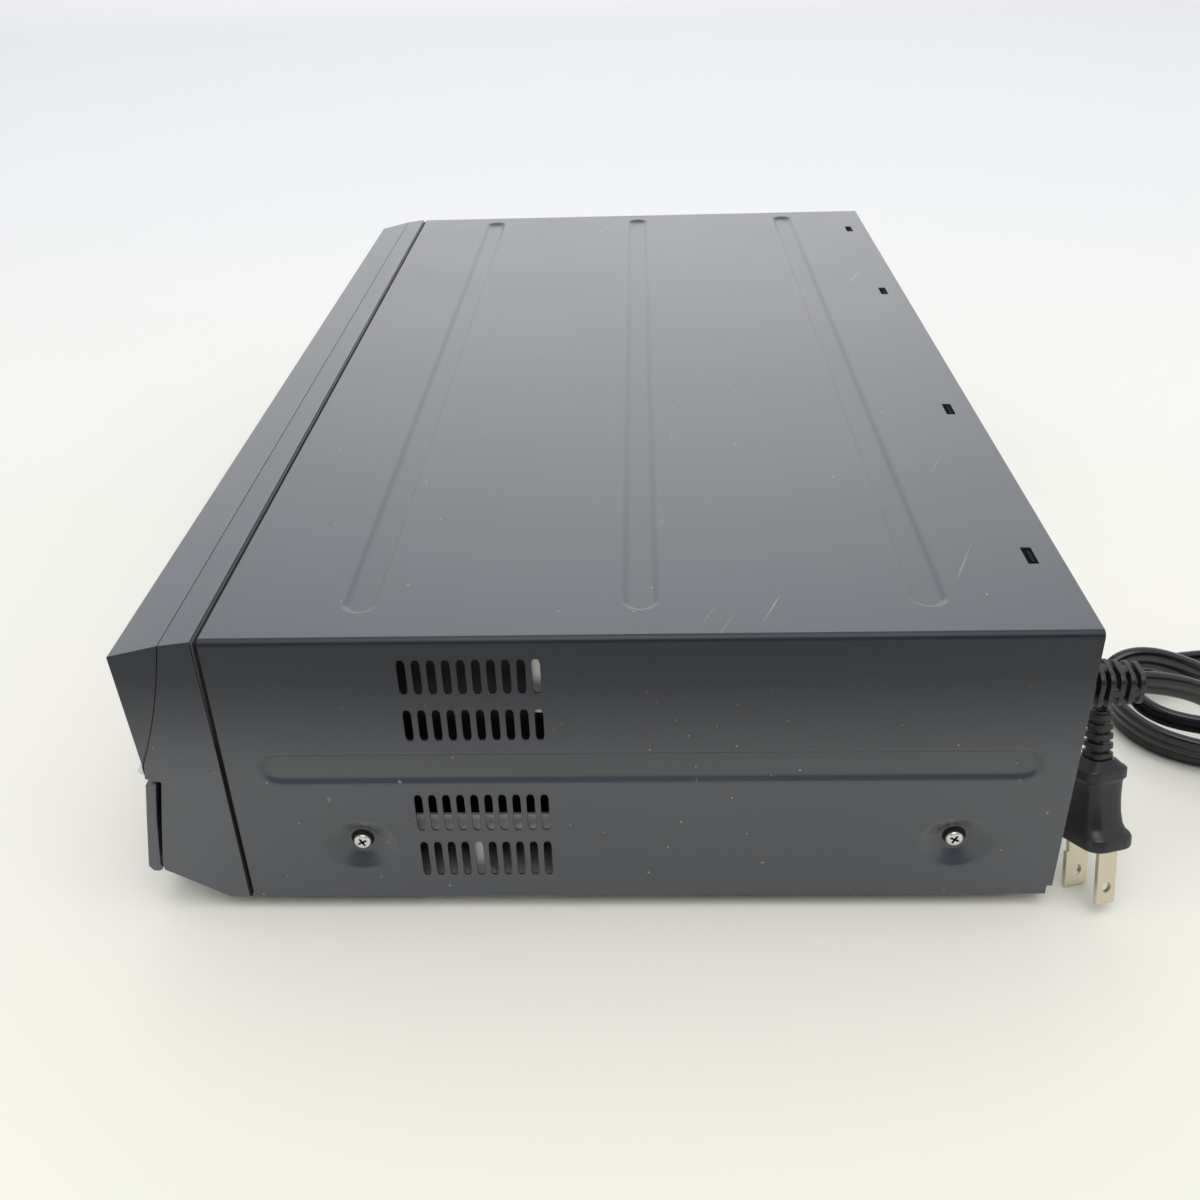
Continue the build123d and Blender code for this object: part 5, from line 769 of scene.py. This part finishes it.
def soft_piece(name, mesh, node, slot, edge):
    """Turns slices into a finished object that stands for an engineering piece."""
    bmesh.ops.remove_doubles(mesh, verts=mesh.verts, dist=0.000001)
    bmesh.ops.recalc_face_normals(mesh, faces=mesh.faces)
    for face in mesh.faces:
        face.smooth = True
    made = to_object(name, mesh)
    made.data.materials.append(finish[slot])
    soft_edges(made, 60, width=edge, segments=2, limit_method="ANGLE", angle_limit=math.radians(35))
    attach(made, owner[node])
    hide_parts(node)
    return made


def frame_at(origin, across, up):
    """A placing matrix with x across and z up, in metres from millimetre drawings."""
    up = Vector(up).normalized()
    across = Vector(across)
    across = (across - up * across.dot(up)).normalized()
    turned = Matrix((across, up.cross(across), up)).transposed().to_4x4()
    return Matrix.Translation(origin) @ turned @ Matrix.Scale(millimetre, 4)


print("recipe:", slices.__doc__)

# %% [markdown]
# The plug has a thick rounded flange that the fingers push on, a waist that they pull on, a second thinner
# flange, and a flexible neck. The neck's slots alternate between its wide and narrow sides, like laid
# bricks, so it bends evenly in every direction.

# %% Plug
plug_foot = (0.2125, 0.14145, 0.0024)
plug_across = (0.887, 0.354, 0.283)
plug_up = (-0.299, -0.015, 0.954)
plug_place = frame_at(plug_foot, plug_across, plug_up)
flange = [(17.7, 19.2, 14.2), (18.3, 20.4, 15.4), (21.1, 20.4, 15.4), (21.9, 19.4, 14.6), (22.6, 16.6, 13.4)]
waist = [(24.2, 14.6, 12.5), (27.5, 12.9, 11.8), (32.0, 11.9, 11.9), (36.6, 11.6, 12.5), (37.6, 11.9, 13.2)]
collar = [(38.1, 12.8, 14.5), (40.7, 12.8, 14.5), (41.2, 12.2, 13.7), (42.3, 10.4, 10.8), (43.6, 8.8, 8.2)]
core = [(43.0, 5.4, 4.8), (58.0, 5.4, 4.8)]
bricks, first_brick, brick_step, brick_tall = 5, 43.6, 2.9, 1.8
neck_wide, neck_taper, neck_flatter = 7.4, 0.2, 0.4
mesh = bmesh.new()
slices(mesh, flange + waist + collar, plug_place)
slices(mesh, core, plug_place)
for k in range(bricks):
    z = first_brick + brick_step * k
    wide = neck_wide - neck_taper * k
    deep = wide - neck_flatter
    slices(mesh, [(z, wide, deep), (z + brick_tall, wide, deep)], plug_place)
    web = (wide - 0.1, 3.0) if k % 2 else (3.4, deep - 0.1)
    slices(mesh, [(z + 1.7, *web), (z + 3.0, *web)], plug_place)
plug_piece = soft_piece("mains_plug", mesh, "plug_body", "black_rubber", edge=0.00025)
print("plug faces", len(plug_piece.data.polygons))

# %% [markdown]
# Where the cord leaves the rear panel, a grommet with five rounded ribs holds it. Short webs join the ribs,
# on the sides between the first two, above and below between the next two, and so on.

# %% Strain relief at the panel
relief_place = frame_at((0.206, 0.12835, 0.0745), (1, 0, 0), (0, 1, 0))
inner_flange = [(-4.2, 13.2, 11.2), (-1.1, 13.2, 11.2)]
in_the_hole = [(-2.0, 10.0, 7.8), (0.3, 10.0, 7.8)]
outer_flange = [(0.1, 12.8, 11.2), (0.6, 13.4, 11.8), (1.9, 13.4, 11.8), (2.4, 12.6, 11.0)]
core = [(1.8, 7.2, 5.4), (16.4, 7.2, 5.4)]
ribs, first_rib, rib_step, rib_tall = 5, 3.6, 2.75, 1.5
rib_wide, rib_taper, rib_flatter = 12.4, 0.45, 1.2
mesh = bmesh.new()
for stations in (inner_flange, in_the_hole, outer_flange, core):
    slices(mesh, stations, relief_place)
for k in range(ribs):
    y = first_rib + rib_step * k
    wide = rib_wide - rib_taper * k
    deep = wide - rib_flatter
    slices(mesh, [(y, wide, deep), (y + rib_tall, wide, deep)], relief_place)
    if k < ribs - 1:
        web = (wide - 0.4, 3.2) if k % 2 else (3.8, wide - 1.6)
        slices(mesh, [(y + 1.3, *web), (y + 2.9, *web)], relief_place)
relief_piece = soft_piece("panel_relief", mesh, "strain_relief", "black_rubber", edge=0.0003)
print("relief faces", len(relief_piece.data.polygons))

# %% [markdown]
# The case screws are pan heads with a cross recess. A domed head is a short cylinder with a large bevel.
# Flat cuts across it mark the arms of the cross, and the faces inside the arms are pushed down.

# %% One screw
head_radius, head_height = 2.6, 1.7
dome_bevel = 0.8
arm_reach, arm_half_wide, arm_deep = 1.5, 0.34, 0.9
shank_radius, shank_long, shank_middle = 1.45, 6.0, -2.9


def cylinder(mesh, radius, depth, middle, sides):
    """Adds a closed cylinder along z, with its middle at a height, and gives its vertices."""
    made = bmesh.ops.create_cone(
        mesh, cap_ends=True, segments=sides, radius1=radius, radius2=radius, depth=depth,
    )["verts"]
    bmesh.ops.translate(mesh, vec=(0, 0, middle), verts=made)
    return made


def face_at_top(vertices):
    """The face among some vertices' faces that lies at a screw head's top."""
    faces = [face for vertex in vertices for face in vertex.link_faces]
    return next(face for face in faces if all(v.co.z > head_height - 0.001 for v in face.verts))


def pan_head(mesh, place):
    """Adds one screw's head and shank to a mesh; its seat is at z = 0."""
    head = cylinder(mesh, head_radius, head_height, head_height / 2, sides=28)
    rim = list(face_at_top(head).edges)
    dome = bmesh.ops.bevel(
        mesh, geom=rim, offset=dome_bevel, segments=4, profile=0.5, affect="EDGES", material=-1,
    )
    parts = {v for v in set(head) | set(dome["verts"]) if v.is_valid}
    cap = face_at_top(parts)
    cuts = [cap] + list(cap.edges) + list(cap.verts)
    for axis in (Vector((1, 0, 0)), Vector((0, 1, 0))):
        for reach in (-arm_reach, -arm_half_wide, arm_half_wide, arm_reach):
            spot = axis * reach + Vector((0, 0, head_height))
            cut = bmesh.ops.bisect_plane(mesh, geom=cuts, dist=0.00001, plane_co=spot, plane_no=axis)
            cuts = cut["geom"]
    arms = []
    for face in (part for part in cuts if isinstance(part, bmesh.types.BMFace)):
        middle = face.calc_center_median()
        nearer, farther = sorted((abs(middle.x), abs(middle.y)))
        if nearer < arm_half_wide and farther < arm_reach:
            arms.append(face)
    floor = vertices_in(bmesh.ops.extrude_face_region(mesh, geom=arms)["geom"])
    bmesh.ops.translate(mesh, vec=(0, 0, -arm_deep), verts=floor)
    bmesh.ops.delete(mesh, geom=[f for f in arms if f.is_valid], context="FACES_ONLY")
    shank = cylinder(mesh, shank_radius, shank_long, shank_middle, sides=12)
    reached = {v for v in parts | set(shank) | set(floor) | set(vertices_in(cuts)) if v.is_valid}
    bmesh.ops.transform(mesh, matrix=place, verts=list(reached))


print("screw head", head_radius * 2, "by", head_height, "mm")

# %% [markdown]
# Eight screws hold the case: two in the dimples of each end, one near each lower rear corner and two at the
# top of the rear panel. Each cross has its own turn, as each screw stopped where it was tight.

# %% Screws
dimple_floor = 0.212
lower_x, lower_y, lower_z = 0.2056, 0.12835, 0.050
upper_xs, upper_y, upper_z = (-0.1207, -0.0061), 0.12925, 0.0918
seats = [((side * dimple_floor, y, side_screws_z), (side, 0, 0)) for side in (1, -1) for y in side_screws_y]
seats += [((side * lower_x, lower_y, lower_z), (0, 1, 0)) for side in (1, -1)]
seats += [((x, upper_y, upper_z), (0, 1, 0)) for x in upper_xs]
turns = [0.5, 1.1, 0.2, 0.9, 0.7, 1.3, 0.1, 0.6]
mesh = bmesh.new()
for (spot, out), turn in zip(seats, turns):
    sideways = Vector((0, 0, 1)).cross(Vector(out))
    pan_head(mesh, frame_at(spot, sideways, out) @ Matrix.Rotation(turn, 4, "Z"))
screw_piece = soft_piece("case_screws", mesh, "screws", "bright_steel", edge=0.00006)
print("screw faces", len(screw_piece.data.polygons))

# %% [markdown]
